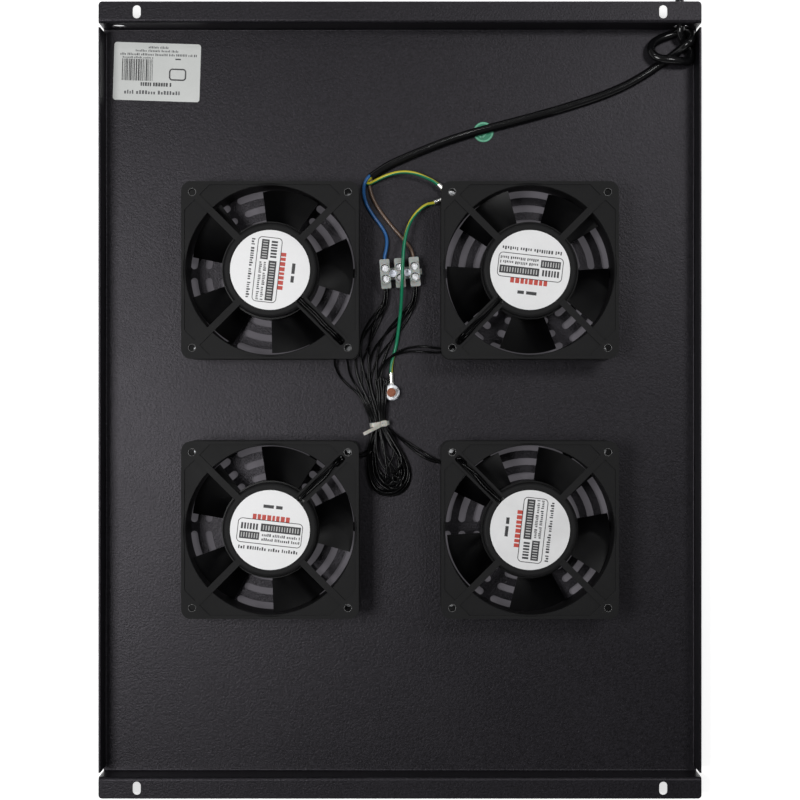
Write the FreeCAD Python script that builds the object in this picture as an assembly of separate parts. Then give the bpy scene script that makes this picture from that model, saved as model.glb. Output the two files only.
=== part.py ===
import FreeCAD, Part

# Rack fan tray: a folded steel pan that carries four axial fans, their terminals and wiring.
#
# Millimetres, +Z up. The tray lies on the heads of its fan screws, open side up, so the fans'
# struts face up and the out-turned flanges are its mounting faces. The origin is the middle of
# the tray's footprint, at the height of the surface that it lies on. Each sub-part is one file
# in parts/. X runs across the tray, Y along it, from one flange to the other.

import math
import os

from FreeCAD import Placement, Rotation, Vector

UP = Vector(0, 0, 1)
ORIGIN = Vector(0, 0, 0)
TINY = 1e-6

# Tray
TRAY_WIDTH = 410.0  # over the two side walls
END_WALL_SPACING = 513.0  # between the end walls' inner faces
TRAY_DEPTH = 25.0  # from the plate's outer face to the flanges' mounting face
SHEET = 1.2
BEND_RADIUS = 1.0  # inside each fold
FLANGE_WIDTH = 14.5  # from an end wall's inner face to the flange's free edge
FLANGE_CORNER_RADIUS = 2.5
CORNER_SLIT = 3.0  # open slit between a side wall and an end wall
FLANGE_SLOT_SPACING = 358.0  # across the tray
FLANGE_SLOT_INSET = 7.0  # from the free edge to the slot's centre
FLANGE_SLOT_WIDTH = 5.5
FLANGE_SLOT_LENGTH = 9.0
CABLE_HOLE_DIAMETER = 10.0
CABLE_HOLE_INSET = 12.0  # from a side wall's outer face to the cord's hole; the spare one mirrors it
CABLE_HOLE_RISE = 10.1  # above the plate's inner face

# Vents in the plate, below each fan's blades
VENT_INSET = 2.0  # of the outer ring of slots from the fan's duct
VENT_STEP = 10.0  # from ring to ring
VENT_RINGS = 3
VENT_WIDTH = 4.8
VENT_WEB = 6.0  # metal between the ends of two slots of one ring
VENT_SECTORS = 6

# Fans
FAN_CORRIDOR = 55.5  # between neighbouring fans' frames
FAN_SIZE = 119.5
FAN_DEPTH = 38.0
FAN_CORNER_RADIUS = 6.5
FAN_HOLE_INSET = 7.35  # of the corner holes from the frame's edges
FAN_HOLE_DIAMETER = 4.3  # in the open side's flange
THREAD_CLEARANCE = 0.03  # round a screw in the other flange's tapped hole
FLANGE_THICKNESS = 4.5
DUCT_MARGIN = 2.75  # from the throat that the blades turn in to the frame's edge
DUCT_WALL = 2.7
DUCT_CHAMFER = 1.4
RIM_WIDTH = 2.2  # raised rim round the strut side
RECESS_DEPTH = 1.0  # of the four faces between the struts
PAD_LENGTH = 15.2  # of a corner pad along the diagonal, to the square's corner
STRUT_WIDTH = 4.6
STRUT_HEIGHT = 5.5
CHANNEL_STRUT_WIDTH = 8.4  # the strut that carries the motor's leads
CHANNEL_WIDTH = 5.2
CHANNEL_DEPTH = 4.0
LEAD_HOLE_INSET = 3.7  # from a corner pad to the middle of the slot where the leads drop
LEAD_HOLE_LENGTH = 9.0
LEAD_HOLE_WIDTH = 5.0
LEAD_HOLE_CORNER = 2.0
HUB_RADIUS = 32.0
HUB_PLATE = 4.0
HUB_ROUNDING = 2.5
LABEL_RECESS_RADIUS = 27.6
LABEL_RECESS_DEPTH = 0.8
FAN_LABEL_RADIUS = 26.9
FAN_LABEL_THICKNESS = 0.3

# Motor
SHAFT_RADIUS = 1.5
SHAFT_CLEARANCE = 0.05
SHAFT_LENGTH = 29.0
BEARING_RADIUS = 4.0
BEARING_LENGTH = 5.0
BEARING_TUBE_WALL = 1.5
THRUST_GAP = 0.5  # between the bearing tube and the cup's boss
STATOR_RADIUS = 25.6
STATOR_HEIGHT = 15.0
STATOR_RISE = 11.0  # above the fan's lower face
STATOR_POLES = 4
STATOR_POLE_WIDTH = 9.0
STATOR_SHOE = 3.0
STATOR_SHOE_GAP = 6.0
AIR_GAP = 0.4
ROTOR_RING_WALL = 4.0
ROTOR_RING_RISE = 8.5
ROTOR_RING_HEIGHT = 20.0

# Impeller
CUP_WALL = 3.0
CUP_RISE = 3.5  # above the fan's lower face
CUP_HEIGHT = 28.0
CUP_ROUNDING = 3.0
CUP_BOSS_RADIUS = 4.5
CUP_BOSS_HEIGHT = 1.6
BLADE_COUNT = 5
BLADE_TIP_GAP = 1.2  # to the duct
BLADE_SPAN = 42.0  # degrees round the axis
BLADE_THICKNESS = 2.4
BLADE_CAMBER = 2.2
BLADE_ROOT_LOW = 6.0
BLADE_ROOT_HIGH = 29.5
BLADE_TIP_LOW = 8.0
BLADE_TIP_HIGH = 28.5

# Fan screws, whose heads are the feet
SCREW_RADIUS = 1.94  # M4 over its thread
SCREW_HEAD_RADIUS = 4.0
SCREW_HEAD_HEIGHT = 2.2
SCREW_LENGTH = 12.0
SCREW_TIP_CHAMFER = 0.6
SCREW_HOLE_DIAMETER = 4.8
M4_NUT_WIDTH = 7.0
M4_NUT_HEIGHT = 3.2

# Terminal strip
TERMINAL_X = 0.0
TERMINAL_Y = 87.4
TERMINAL_TURN = 4.5  # degrees
POLE_PITCH = 10.1
POLE_WIDTH = 6.8
POLE_LENGTH = 20.2
POLE_HEIGHT = 10.5
TOWER_LENGTH = 14.1
TOWER_HEIGHT = 14.5
POLE_ROUNDING = 1.0
WELL_DIAMETER = 5.5
WELL_SPACING = 7.3
TUNNEL_DIAMETER = 4.4
TUNNEL_RISE = 5.0
INSERT_LENGTH = 15.0
INSERT_BORE = 2.8
WEB_LENGTH = 8.0
WEB_HEIGHT = 6.0
WEB_STUB = 1.6
CLAMP_SCREW_DIAMETER = 2.6
CLAMP_HEAD_DIAMETER = 4.8
CLAMP_HEAD_HEIGHT = 2.0
CLAMP_HEAD_RISE = 9.0
MOUNT_SCREW_DIAMETER = 2.8
MOUNT_HEAD_DIAMETER = 5.0
MOUNT_HEAD_HEIGHT = 2.0
SCREW_SLOT_WIDTH = 0.7
SCREW_SLOT_DEPTH = 0.8
FIT_CLEARANCE = 0.1  # round a screw's shank in its hole

# Earth stud and ring terminals
STUD_X = -5.9
STUD_Y = 5.2
STUD_RADIUS = 3.0
STUD_HEIGHT = 13.0
M6_NUT_WIDTH = 10.0
M6_NUT_HEIGHT = 5.0
WASHER_RADIUS = 5.6
WASHER_THICKNESS = 1.2
RING_THICKNESS = 0.9
STUD_RING_RADIUS = 5.4
FAN_RING_RADIUS = 4.0
BARREL_RADIUS = 1.9
BARREL_LENGTH = 7.0
BARREL_GAP = 1.2  # between the ring's edge and the barrel
TONGUE_WIDTH = 3.4
RING_ANGLES = (136.0, 200.0)  # the two ring terminals on fan 2's corner screw
STUD_RING_ANGLE = 91.5

# Wires and cords, by outer diameter
WIRE = 2.3
LEAD_PAIR = 2.4  # the two leads of one fan
LEAD_BUNDLE = 3.4  # the four leads of one pole
POWER_CORD = 6.0
ARC_SHARE = 0.45  # of the shorter run beside a bend, used by its arc
WIRE_IN_BARREL = 3.0
WIRE_IN_INSERT = 2.0

# Folded leads and their tie
HANK_ROUNDING = 1.6
TIE_X = -14.6
TIE_Y = -16.6
TIE_TURN = 8.0  # degrees
TIE_LOOP_WIDTH = 12.0
TIE_LOOP_HEIGHT = 6.0
TIE_BAND_WIDTH = 4.6
TIE_BAND = 1.2
TIE_HEAD = 5.4
TIE_HEAD_HEIGHT = 4.4
TIE_TAIL_LENGTH = 13.0
TIE_TAIL_TURN = 204.0  # degrees

# Coil of the cord and its plug
COIL_X = 152.0
COIL_Y = 326.0
COIL_RADIUS = 35.0  # middle of its turns
COIL_COLUMNS = 3
COIL_LAYERS = 2
PLUG_X = 62.0
PLUG_Y = 357.0
PLUG_TURN = 6.0  # degrees
PLUG_RADIUS = 18.5
PLUG_FACE_LENGTH = 12.0
PLUG_LENGTH = 34.0
PLUG_NECK_RADIUS = 8.5
RELIEF_LENGTH = 26.0
RELIEF_RADIUS = 6.0
PLUG_PIN_RADIUS = 2.4
PLUG_PIN_LENGTH = 19.0
PLUG_PIN_SPACING = 19.0
PLUG_PIN_ROOT = 5.0
EARTH_CLIP_WIDTH = 6.0
EARTH_CLIP_THICKNESS = 0.8
EARTH_CLIP_LENGTH = 13.0
EARTH_SLOT_DEPTH = 2.4
GUIDE_GROOVE_WIDTH = 5.0
GUIDE_GROOVE_DEPTH = 2.0

# Labels
RATING_LABEL = (60.0, 40.0, 2.0)  # length, width, corner radius
RATING_LABEL_INSET = (36.8, 29.6)  # of its middle from the side wall and the end wall
RATING_LABEL_TURN = -1.85  # degrees
STICKER_RADIUS = 7.0
STICKER_AT = (57.7, 185.4)
LABEL_THICKNESS = 0.15

# Sizes that follow
FAN_PITCH = FAN_SIZE + FAN_CORRIDOR
FAN_HOLE_PITCH = FAN_SIZE - 2 * FAN_HOLE_INSET
DUCT_RADIUS = FAN_SIZE / 2 - DUCT_MARGIN
BLADE_TIP_RADIUS = DUCT_RADIUS - BLADE_TIP_GAP
PAD_REACH = FAN_SIZE / math.sqrt(2) - PAD_LENGTH
LEAD_HOLE_REACH = PAD_REACH - LEAD_HOLE_INSET
TAPPED_HOLE_RADIUS = SCREW_RADIUS + THREAD_CLEARANCE
CABLE_HOLE_X = TRAY_WIDTH / 2 - CABLE_HOLE_INSET
PLATE_BOTTOM = SCREW_HEAD_HEIGHT
PLATE_TOP = PLATE_BOTTOM + SHEET
FLANGE_TOP = PLATE_BOTTOM + TRAY_DEPTH
LOWER_FLANGE_TOP = PLATE_TOP + FLANGE_THICKNESS
OUTER_BEND = BEND_RADIUS + SHEET
END_INNER = END_WALL_SPACING / 2
FLANGE_EDGE = END_INNER + FLANGE_WIDTH
CUP_RADIUS = STATOR_RADIUS + AIR_GAP + ROTOR_RING_WALL + CUP_WALL
CUP_INNER = CUP_RADIUS - CUP_WALL
BEARING_TUBE_RADIUS = BEARING_RADIUS + BEARING_TUBE_WALL
HUB_UNDERSIDE = FAN_DEPTH - HUB_PLATE
HANK_HEIGHT = FIT_CLEARANCE + TIE_BAND + TIE_LOOP_HEIGHT  # level with the tie's loop inside
BEARING_TUBE_BOTTOM = CUP_RISE + CUP_WALL + CUP_BOSS_HEIGHT + THRUST_GAP

# Each fan: the signs of its place, the turn of its frame, and the turn of its blades at rest
FANS = {
    1: (-1, 1, -90.0, 76.0),
    2: (1, 1, 180.0, 54.0),
    3: (-1, -1, 0.0, 77.0),
    4: (1, -1, 90.0, 61.0),
}


# --- Shapes -----------------------------------------------------------------------------------


def corner_arc(before, corner, after, radius):
    """Start, middle and end of the tangent arc that rounds one corner of a path."""
    arriving = (corner - before).normalize()
    leaving = (after - corner).normalize()
    half_turn = arriving.getAngle(leaving) / 2
    reach = radius * math.tan(half_turn)
    inset = radius / math.cos(half_turn) - radius
    inward = (leaving - arriving).normalize()
    return corner - arriving * reach, corner + inward * inset, corner + leaving * reach


def outline(corners):
    """Face in the XY plane bounded by (x, y, radius) corners; radius 0 leaves a corner sharp."""
    points = [Vector(x, y, 0) for x, y, _ in corners]
    arcs = []
    for i, (_, _, radius) in enumerate(corners):
        here = points[i]
        if radius > 0:
            arcs.append(corner_arc(points[i - 1], here, points[(i + 1) % len(points)], radius))
        else:
            arcs.append((here, here, here))
    edges = []
    for i, (start, middle, end) in enumerate(arcs):
        if start.distanceToPoint(end) > TINY:
            edges.append(Part.Arc(start, middle, end).toShape())
        next_start = arcs[(i + 1) % len(arcs)][0]
        if end.distanceToPoint(next_start) > TINY:
            edges.append(Part.LineSegment(end, next_start).toShape())
    return Part.Face(Part.Wire(edges))


def rectangle(length, width, radius=0.0):
    """Face of a rectangle about the origin, with rounded corners."""
    x, y = length / 2, width / 2
    return outline([(-x, -y, radius), (x, -y, radius), (x, y, radius), (-x, y, radius)])


def raised(face, low, high):
    """Solid that stands on a face of the XY plane, from one height to another."""
    solid = face.extrude(UP * (high - low))
    solid.translate(UP * low)
    return solid


def box(low, high):
    """Box between two corners."""
    size = [b - a for a, b in zip(low, high)]
    return Part.makeBox(*size, Vector(*low))


def cylinder(radius, low, high, x=0.0, y=0.0):
    """Upright cylinder from one height to another."""
    return Part.makeCylinder(radius, high - low, Vector(x, y, low))


def revolved(corners):
    """Solid of revolution about Z; its half section is an outline in (radius, height)."""
    section = outline(corners)
    section.rotate(ORIGIN, Vector(1, 0, 0), 90)
    return section.revolve(ORIGIN, UP, 360)


def hexagon(across_flats):
    """Face of a hexagon about the origin, with two flats across X."""
    corner = across_flats / math.sqrt(3)
    turns = [math.radians(30 + 60 * i) for i in range(6)]
    return outline([(corner * math.cos(a), corner * math.sin(a), 0) for a in turns])


def turned(shape, degrees, x=0.0, y=0.0, z=0.0):
    """Copy of a shape turned about Z, then moved."""
    copy = shape.copy()
    copy.Placement = Placement(Vector(x, y, z), Rotation(UP, degrees)).multiply(copy.Placement)
    return copy


def fused(shapes):
    """One solid from several that overlap or share faces."""
    return shapes[0].multiFuse(shapes[1:]).removeSplitter()


def corners_of(spacing_x, spacing_y):
    """The four corners of a rectangle about the origin."""
    return [(sx * spacing_x / 2, sy * spacing_y / 2) for sx in (-1, 1) for sy in (-1, 1)]


# --- Tray -------------------------------------------------------------------------------------


def end_fold_section():
    """Section of the plate, both end walls and their flanges, as an outline in (Y, Z)."""
    outer = END_INNER + SHEET
    half = [
        (outer, PLATE_BOTTOM, OUTER_BEND),
        (outer, FLANGE_TOP - SHEET, BEND_RADIUS),
        (FLANGE_EDGE, FLANGE_TOP - SHEET, 0),
        (FLANGE_EDGE, FLANGE_TOP, 0),
        (END_INNER, FLANGE_TOP, OUTER_BEND),
        (END_INNER, PLATE_TOP, BEND_RADIUS),
    ]
    return outline(half + [(-y, z, r) for y, z, r in reversed(half)])


def side_wall_section():
    """Section of the side wall and its fold, as an outline in (X, Z)."""
    outer = TRAY_WIDTH / 2
    inner = outer - SHEET
    root = outer - OUTER_BEND
    return outline(
        [
            (root, PLATE_BOTTOM, 0),
            (outer, PLATE_BOTTOM, OUTER_BEND),
            (outer, FLANGE_TOP, 0),
            (inner, FLANGE_TOP, 0),
            (inner, PLATE_TOP, BEND_RADIUS),
            (root, PLATE_TOP, 0),
        ]
    )


def arc_slot(radius, start, end):
    """Face of a vent slot bent round the origin, with round ends centred on its two angles."""
    half_width = VENT_WIDTH / 2

    def at(distance, angle):
        return Vector(distance * math.cos(angle), distance * math.sin(angle), 0)

    middle = (start + end) / 2
    tip = half_width / radius
    outer, inner = radius + half_width, radius - half_width
    edges = [
        Part.Arc(at(outer, start), at(outer, middle), at(outer, end)).toShape(),
        Part.Arc(at(outer, end), at(radius, end + tip), at(inner, end)).toShape(),
        Part.Arc(at(inner, end), at(inner, middle), at(inner, start)).toShape(),
        Part.Arc(at(inner, start), at(radius, start - tip), at(outer, start)).toShape(),
    ]
    return Part.Face(Part.Wire(edges))


def vent_cutters():
    """Cutters of one fan's vents: rings of arc slots, with webs every sixty degrees."""
    cutters = []
    sector = 2 * math.pi / VENT_SECTORS
    for ring in range(VENT_RINGS):
        radius = DUCT_RADIUS - VENT_INSET - VENT_STEP * ring
        margin = (VENT_WEB + VENT_WIDTH) / 2 / radius
        slot = raised(arc_slot(radius, margin, sector - margin), PLATE_BOTTOM - 1, PLATE_TOP + 1)
        cutters += [turned(slot, math.degrees(sector) * i) for i in range(VENT_SECTORS)]
    return cutters


def plate_hole(diameter, x, y):
    """Cutter of a round hole through the plate."""
    return cylinder(diameter / 2, PLATE_BOTTOM - 1, PLATE_TOP + 1, x, y)


def tray_panel():
    """The folded pan: plate, side walls, end walls with flanges, vents, slots and holes."""
    ends = end_fold_section()
    ends.Placement = Placement(Vector(-TRAY_WIDTH / 2, 0, 0), Rotation(Vector(1, 1, 1), 120))
    pan = ends.extrude(Vector(TRAY_WIDTH, 0, 0))
    side_half = END_INNER - CORNER_SLIT
    side = side_wall_section()
    side.rotate(ORIGIN, Vector(1, 0, 0), 90)
    side.translate(Vector(0, side_half, 0))
    wall = side.extrude(Vector(0, -2 * side_half, 0))
    root = TRAY_WIDTH / 2 - OUTER_BEND
    strip = box((root, -side_half, PLATE_BOTTOM - 1), (root + OUTER_BEND + 1, side_half, PLATE_TOP + 1))
    pan = pan.cut([strip, turned(strip, 180)])
    pan = fused([pan, wall, turned(wall, 180)])
    footprint = rectangle(TRAY_WIDTH, 2 * FLANGE_EDGE, FLANGE_CORNER_RADIUS)
    pan = pan.common(raised(footprint, 0, FLANGE_TOP + 1))

    cutters = []
    for sx, sy, _, _ in FANS.values():
        x, y = sx * FAN_PITCH / 2, sy * FAN_PITCH / 2
        cutters += [turned(cutter, 0, x, y) for cutter in vent_cutters()]
        for hx, hy in corners_of(FAN_HOLE_PITCH, FAN_HOLE_PITCH):
            cutters.append(plate_hole(SCREW_HOLE_DIAMETER, x + hx, y + hy))
    for position in terminal_mount_points():
        cutters.append(plate_hole(MOUNT_SCREW_DIAMETER + 2 * FIT_CLEARANCE, position.x, position.y))
    slot = rectangle(FLANGE_SLOT_WIDTH, FLANGE_SLOT_LENGTH, FLANGE_SLOT_WIDTH / 2 - TINY)
    slot = raised(slot, FLANGE_TOP - SHEET - 1, FLANGE_TOP + 1)
    slot_spacing_y = 2 * (FLANGE_EDGE - FLANGE_SLOT_INSET)
    cutters += [turned(slot, 0, x, y) for x, y in corners_of(FLANGE_SLOT_SPACING, slot_spacing_y)]
    for x in (-CABLE_HOLE_X, CABLE_HOLE_X):
        start = Vector(x, END_INNER - 1, PLATE_TOP + CABLE_HOLE_RISE)
        cutters.append(Part.makeCylinder(CABLE_HOLE_DIAMETER / 2, SHEET + 2, start, Vector(0, 1, 0)))
    return pan.cut(cutters)


# --- Fans, each about its own axis, with Z measured from its lower face ------------------------


def fan_place(number):
    """Placement of a fan's frame on the plate."""
    sx, sy, turn, _ = FANS[number]
    centre = Vector(sx * FAN_PITCH / 2, sy * FAN_PITCH / 2, PLATE_TOP)
    return Placement(centre, Rotation(UP, turn))


def strut(width):
    """Strut along +X, from the hub into its corner pad, a little narrower at its lower edge."""
    low = width * 0.3
    high = width / 2
    section = outline([(-low, -STRUT_HEIGHT, 0), (low, -STRUT_HEIGHT, 0), (high, 0, 0), (-high, 0, 0)])
    section.Placement = Placement(Vector(HUB_RADIUS - 2, 0, FAN_DEPTH), Rotation(Vector(1, 1, 1), 120))
    return section.extrude(Vector(PAD_REACH - HUB_RADIUS + 3, 0, 0))


def spandrel_recess():
    """Cutter of the shallow faces between the struts: an octagon less the struts' tops."""
    half = FAN_SIZE / 2 - RIM_WIDTH
    cut = PAD_REACH * math.sqrt(2) - half
    corners = [(half, cut), (cut, half), (-cut, half), (-half, cut)]
    corners += [(-x, -y) for x, y in corners]
    floor = FAN_DEPTH - RECESS_DEPTH
    recess = raised(outline([(x, y, 0) for x, y in corners]), floor, FAN_DEPTH + 1)
    bars = []
    for i in range(4):
        width = CHANNEL_STRUT_WIDTH if i == 0 else STRUT_WIDTH
        bar = box((0, -width / 2, floor - 1), (PAD_REACH + 2, width / 2, FAN_DEPTH + 2))
        bars.append(turned(bar, 45 + 90 * i))
    return recess.cut(bars + [cylinder(HUB_RADIUS, floor - 1, FAN_DEPTH + 2)])


def hub_plate():
    """Hub plate with its label recess and the tube that holds the bearings."""
    floor = FAN_DEPTH - LABEL_RECESS_DEPTH
    bore_top = HUB_UNDERSIDE + HUB_PLATE / 3
    return revolved(
        [
            (0, bore_top, 0),
            (BEARING_RADIUS, bore_top, 0),
            (BEARING_RADIUS, BEARING_TUBE_BOTTOM, 0),
            (BEARING_TUBE_RADIUS, BEARING_TUBE_BOTTOM, 0),
            (BEARING_TUBE_RADIUS, HUB_UNDERSIDE, 0),
            (HUB_RADIUS, HUB_UNDERSIDE, 0),
            (HUB_RADIUS, FAN_DEPTH, HUB_ROUNDING),
            (LABEL_RECESS_RADIUS, FAN_DEPTH, 0),
            (LABEL_RECESS_RADIUS, floor, 0),
            (0, floor, 0),
        ]
    )


def fan_frame():
    """Cast frame: two square flanges, the duct, three struts, the lead channel and the hub."""
    square = rectangle(FAN_SIZE, FAN_SIZE, FAN_CORNER_RADIUS)
    lower = raised(square, 0, FLANGE_THICKNESS)
    upper = raised(square, FAN_DEPTH - FLANGE_THICKNESS, FAN_DEPTH)
    wall = cylinder(DUCT_RADIUS + DUCT_WALL, 0, FAN_DEPTH)
    flared = DUCT_RADIUS + DUCT_CHAMFER
    bore = revolved(
        [
            (0, -1, 0),
            (flared + 1, -1, 0),
            (DUCT_RADIUS, DUCT_CHAMFER, 0),
            (DUCT_RADIUS, FAN_DEPTH - DUCT_CHAMFER, 0),
            (flared + 1, FAN_DEPTH + 1, 0),
            (0, FAN_DEPTH + 1, 0),
        ]
    )
    shell = fused([lower, upper, wall]).cut(bore)
    struts = [turned(strut(CHANNEL_STRUT_WIDTH), 45)]
    struts += [turned(strut(STRUT_WIDTH), 45 + 90 * i) for i in (1, 2, 3)]
    frame = fused([shell, hub_plate()] + struts)

    channel_floor = FAN_DEPTH - CHANNEL_DEPTH
    half = CHANNEL_WIDTH / 2
    channel = box((LABEL_RECESS_RADIUS - 1, -half, channel_floor), (LEAD_HOLE_REACH, half, FAN_DEPTH + 1))
    drop = raised(rectangle(LEAD_HOLE_LENGTH, LEAD_HOLE_WIDTH, LEAD_HOLE_CORNER), 0, FAN_DEPTH)
    drop.translate(Vector(LEAD_HOLE_REACH, 0, FLANGE_THICKNESS + 1))
    cutters = [turned(channel, 45), turned(drop, 45), spandrel_recess()]
    for x, y in corners_of(FAN_HOLE_PITCH, FAN_HOLE_PITCH):
        cutters.append(cylinder(TAPPED_HOLE_RADIUS, -1, FLANGE_THICKNESS + 1, x, y))
        cutters.append(cylinder(FAN_HOLE_DIAMETER / 2, FAN_DEPTH / 2, FAN_DEPTH + 1, x, y))
    return frame.cut(cutters)


def bearings():
    """Two plain bearings, one at each end of the tube."""
    ring = cylinder(BEARING_RADIUS, 0, BEARING_LENGTH)
    ring = ring.cut(cylinder(SHAFT_RADIUS + SHAFT_CLEARANCE, -1, BEARING_LENGTH + 1))
    low = turned(ring, 0, z=BEARING_TUBE_BOTTOM)
    high = turned(ring, 0, z=HUB_UNDERSIDE - BEARING_LENGTH)
    return Part.makeCompound([low, high])


def stator():
    """Laminated stator: a core on the bearing tube and poles with curved shoes."""
    low, high = STATOR_RISE, STATOR_RISE + STATOR_HEIGHT
    core = cylinder(BEARING_TUBE_RADIUS + 5, low, high)
    shoe = cylinder(STATOR_RADIUS, low, high).cut(cylinder(STATOR_RADIUS - STATOR_SHOE, low - 1, high + 1))
    half_gap = STATOR_SHOE_GAP / 2
    gap = box((0, -half_gap, low - 1), (STATOR_RADIUS + 1, half_gap, high + 1))
    step = 360 / STATOR_POLES
    shoe = shoe.cut([turned(gap, step * (i + 0.5)) for i in range(STATOR_POLES)])
    half_pole = STATOR_POLE_WIDTH / 2
    reach = STATOR_RADIUS - STATOR_SHOE / 2
    pole = box((0, -half_pole, low), (reach, half_pole, high))
    poles = [turned(pole, step * i) for i in range(STATOR_POLES)]
    return fused([core, shoe] + poles).cut(cylinder(BEARING_TUBE_RADIUS, low - 1, high + 1))


def blade_section(distance, low, high):
    """Thin cambered section of a blade, in the plane at this distance from the axis."""
    half_span = distance * math.tan(math.radians(BLADE_SPAN / 2))
    middle = (low + high) / 2 + BLADE_CAMBER
    half = BLADE_THICKNESS / 2

    def at(y, z):
        return Vector(distance, y, z)

    top = [at(-half_span, high + half), at(0, middle + half), at(half_span, low + half)]
    bottom = [at(half_span, low - half), at(0, middle - half), at(-half_span, high - half)]
    edges = [
        Part.Arc(*top).toShape(),
        Part.LineSegment(top[2], bottom[0]).toShape(),
        Part.Arc(*bottom).toShape(),
        Part.LineSegment(bottom[2], top[0]).toShape(),
    ]
    return Part.Wire(edges)


def blade():
    """One wide twisted blade, lofted outwards and trimmed round at its root and tip."""
    root, tip = CUP_INNER * math.cos(math.radians(BLADE_SPAN / 2)) - 1, BLADE_TIP_RADIUS + 1
    middle = (root + tip) / 2
    sections = [
        blade_section(root, BLADE_ROOT_LOW, BLADE_ROOT_HIGH),
        blade_section(middle, (BLADE_ROOT_LOW + BLADE_TIP_LOW) / 2, (BLADE_ROOT_HIGH + BLADE_TIP_HIGH) / 2),
        blade_section(tip, BLADE_TIP_LOW, BLADE_TIP_HIGH),
    ]
    loft = Part.makeLoft(sections, True)
    root_radius = (CUP_INNER + CUP_RADIUS) / 2
    ring = cylinder(BLADE_TIP_RADIUS, 0, FAN_DEPTH).cut(cylinder(root_radius, -1, FAN_DEPTH + 1))
    return loft.common(ring)


def impeller():
    """Impeller: a cup over the motor with five swept blades round it."""
    top = CUP_RISE + CUP_HEIGHT
    floor = CUP_RISE + CUP_WALL
    boss_top = floor + CUP_BOSS_HEIGHT
    cup = revolved(
        [
            (SHAFT_RADIUS, CUP_RISE, 0),
            (CUP_RADIUS, CUP_RISE, CUP_ROUNDING),
            (CUP_RADIUS, top, 0),
            (CUP_INNER, top, 0),
            (CUP_INNER, floor, 0),
            (CUP_BOSS_RADIUS, floor, 0),
            (CUP_BOSS_RADIUS, boss_top, 0),
            (SHAFT_RADIUS, boss_top, 0),
        ]
    )
    one = blade()
    return fused([cup] + [turned(one, 360 / BLADE_COUNT * i) for i in range(BLADE_COUNT)])


def rotor_ring():
    """Steel ring of the outer rotor, pressed into the impeller's cup."""
    low, high = ROTOR_RING_RISE, ROTOR_RING_RISE + ROTOR_RING_HEIGHT
    return cylinder(CUP_INNER, low, high).cut(cylinder(STATOR_RADIUS + AIR_GAP, low - 1, high + 1))


def shaft():
    """Shaft, pressed into the cup's boss and running in the bearings."""
    return cylinder(SHAFT_RADIUS, CUP_RISE, CUP_RISE + SHAFT_LENGTH)


def fan_label():
    """Round label in the hub plate's recess."""
    floor = FAN_DEPTH - LABEL_RECESS_DEPTH
    return cylinder(FAN_LABEL_RADIUS, floor, floor + FAN_LABEL_THICKNESS)


def fan_screw():
    """Pan-head screw through the plate into the fan's lower flange, head down."""
    seat = -SHEET
    tip = seat + SCREW_LENGTH
    return revolved(
        [
            (0, seat - SCREW_HEAD_HEIGHT, 0),
            (SCREW_HEAD_RADIUS, seat - SCREW_HEAD_HEIGHT, SCREW_HEAD_HEIGHT * 0.6),
            (SCREW_HEAD_RADIUS, seat, 0),
            (SCREW_RADIUS, seat, 0),
            (SCREW_RADIUS, tip - SCREW_TIP_CHAMFER, 0),
            (SCREW_RADIUS - SCREW_TIP_CHAMFER, tip, 0),
            (0, tip, 0),
        ]
    )


def fan_screws():
    """The four screws of one fan."""
    one = fan_screw()
    return Part.makeCompound([turned(one, 0, x, y) for x, y in corners_of(FAN_HOLE_PITCH, FAN_HOLE_PITCH)])


# --- Terminal strip, about its own middle, with Z measured from the plate ----------------------


def terminal_place():
    """Placement of the terminal strip on the plate."""
    return Placement(Vector(TERMINAL_X, TERMINAL_Y, PLATE_TOP), Rotation(UP, TERMINAL_TURN))


def pole_offsets():
    """X of each pole's middle."""
    return [POLE_PITCH * i for i in (-1, 0, 1)]


def terminal_mount_points():
    """Where the strip's two mounting screws stand on the plate."""
    return [terminal_place().multVec(Vector(x, 0, 0)) for x in (-POLE_PITCH / 2, POLE_PITCH / 2)]


def wire_entry(pole, side, depth):
    """Point on a pole's wire tunnel, this far inside the end of its brass insert."""
    y = side * (INSERT_LENGTH / 2 - depth)
    return terminal_place().multVec(Vector(POLE_PITCH * (pole - 2), y, TUNNEL_RISE))


def along_y(radius, length, x, z):
    """Level cylinder along Y, about the middle of the strip."""
    return Part.makeCylinder(radius, length, Vector(x, -length / 2, z), Vector(0, 1, 0))


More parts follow.
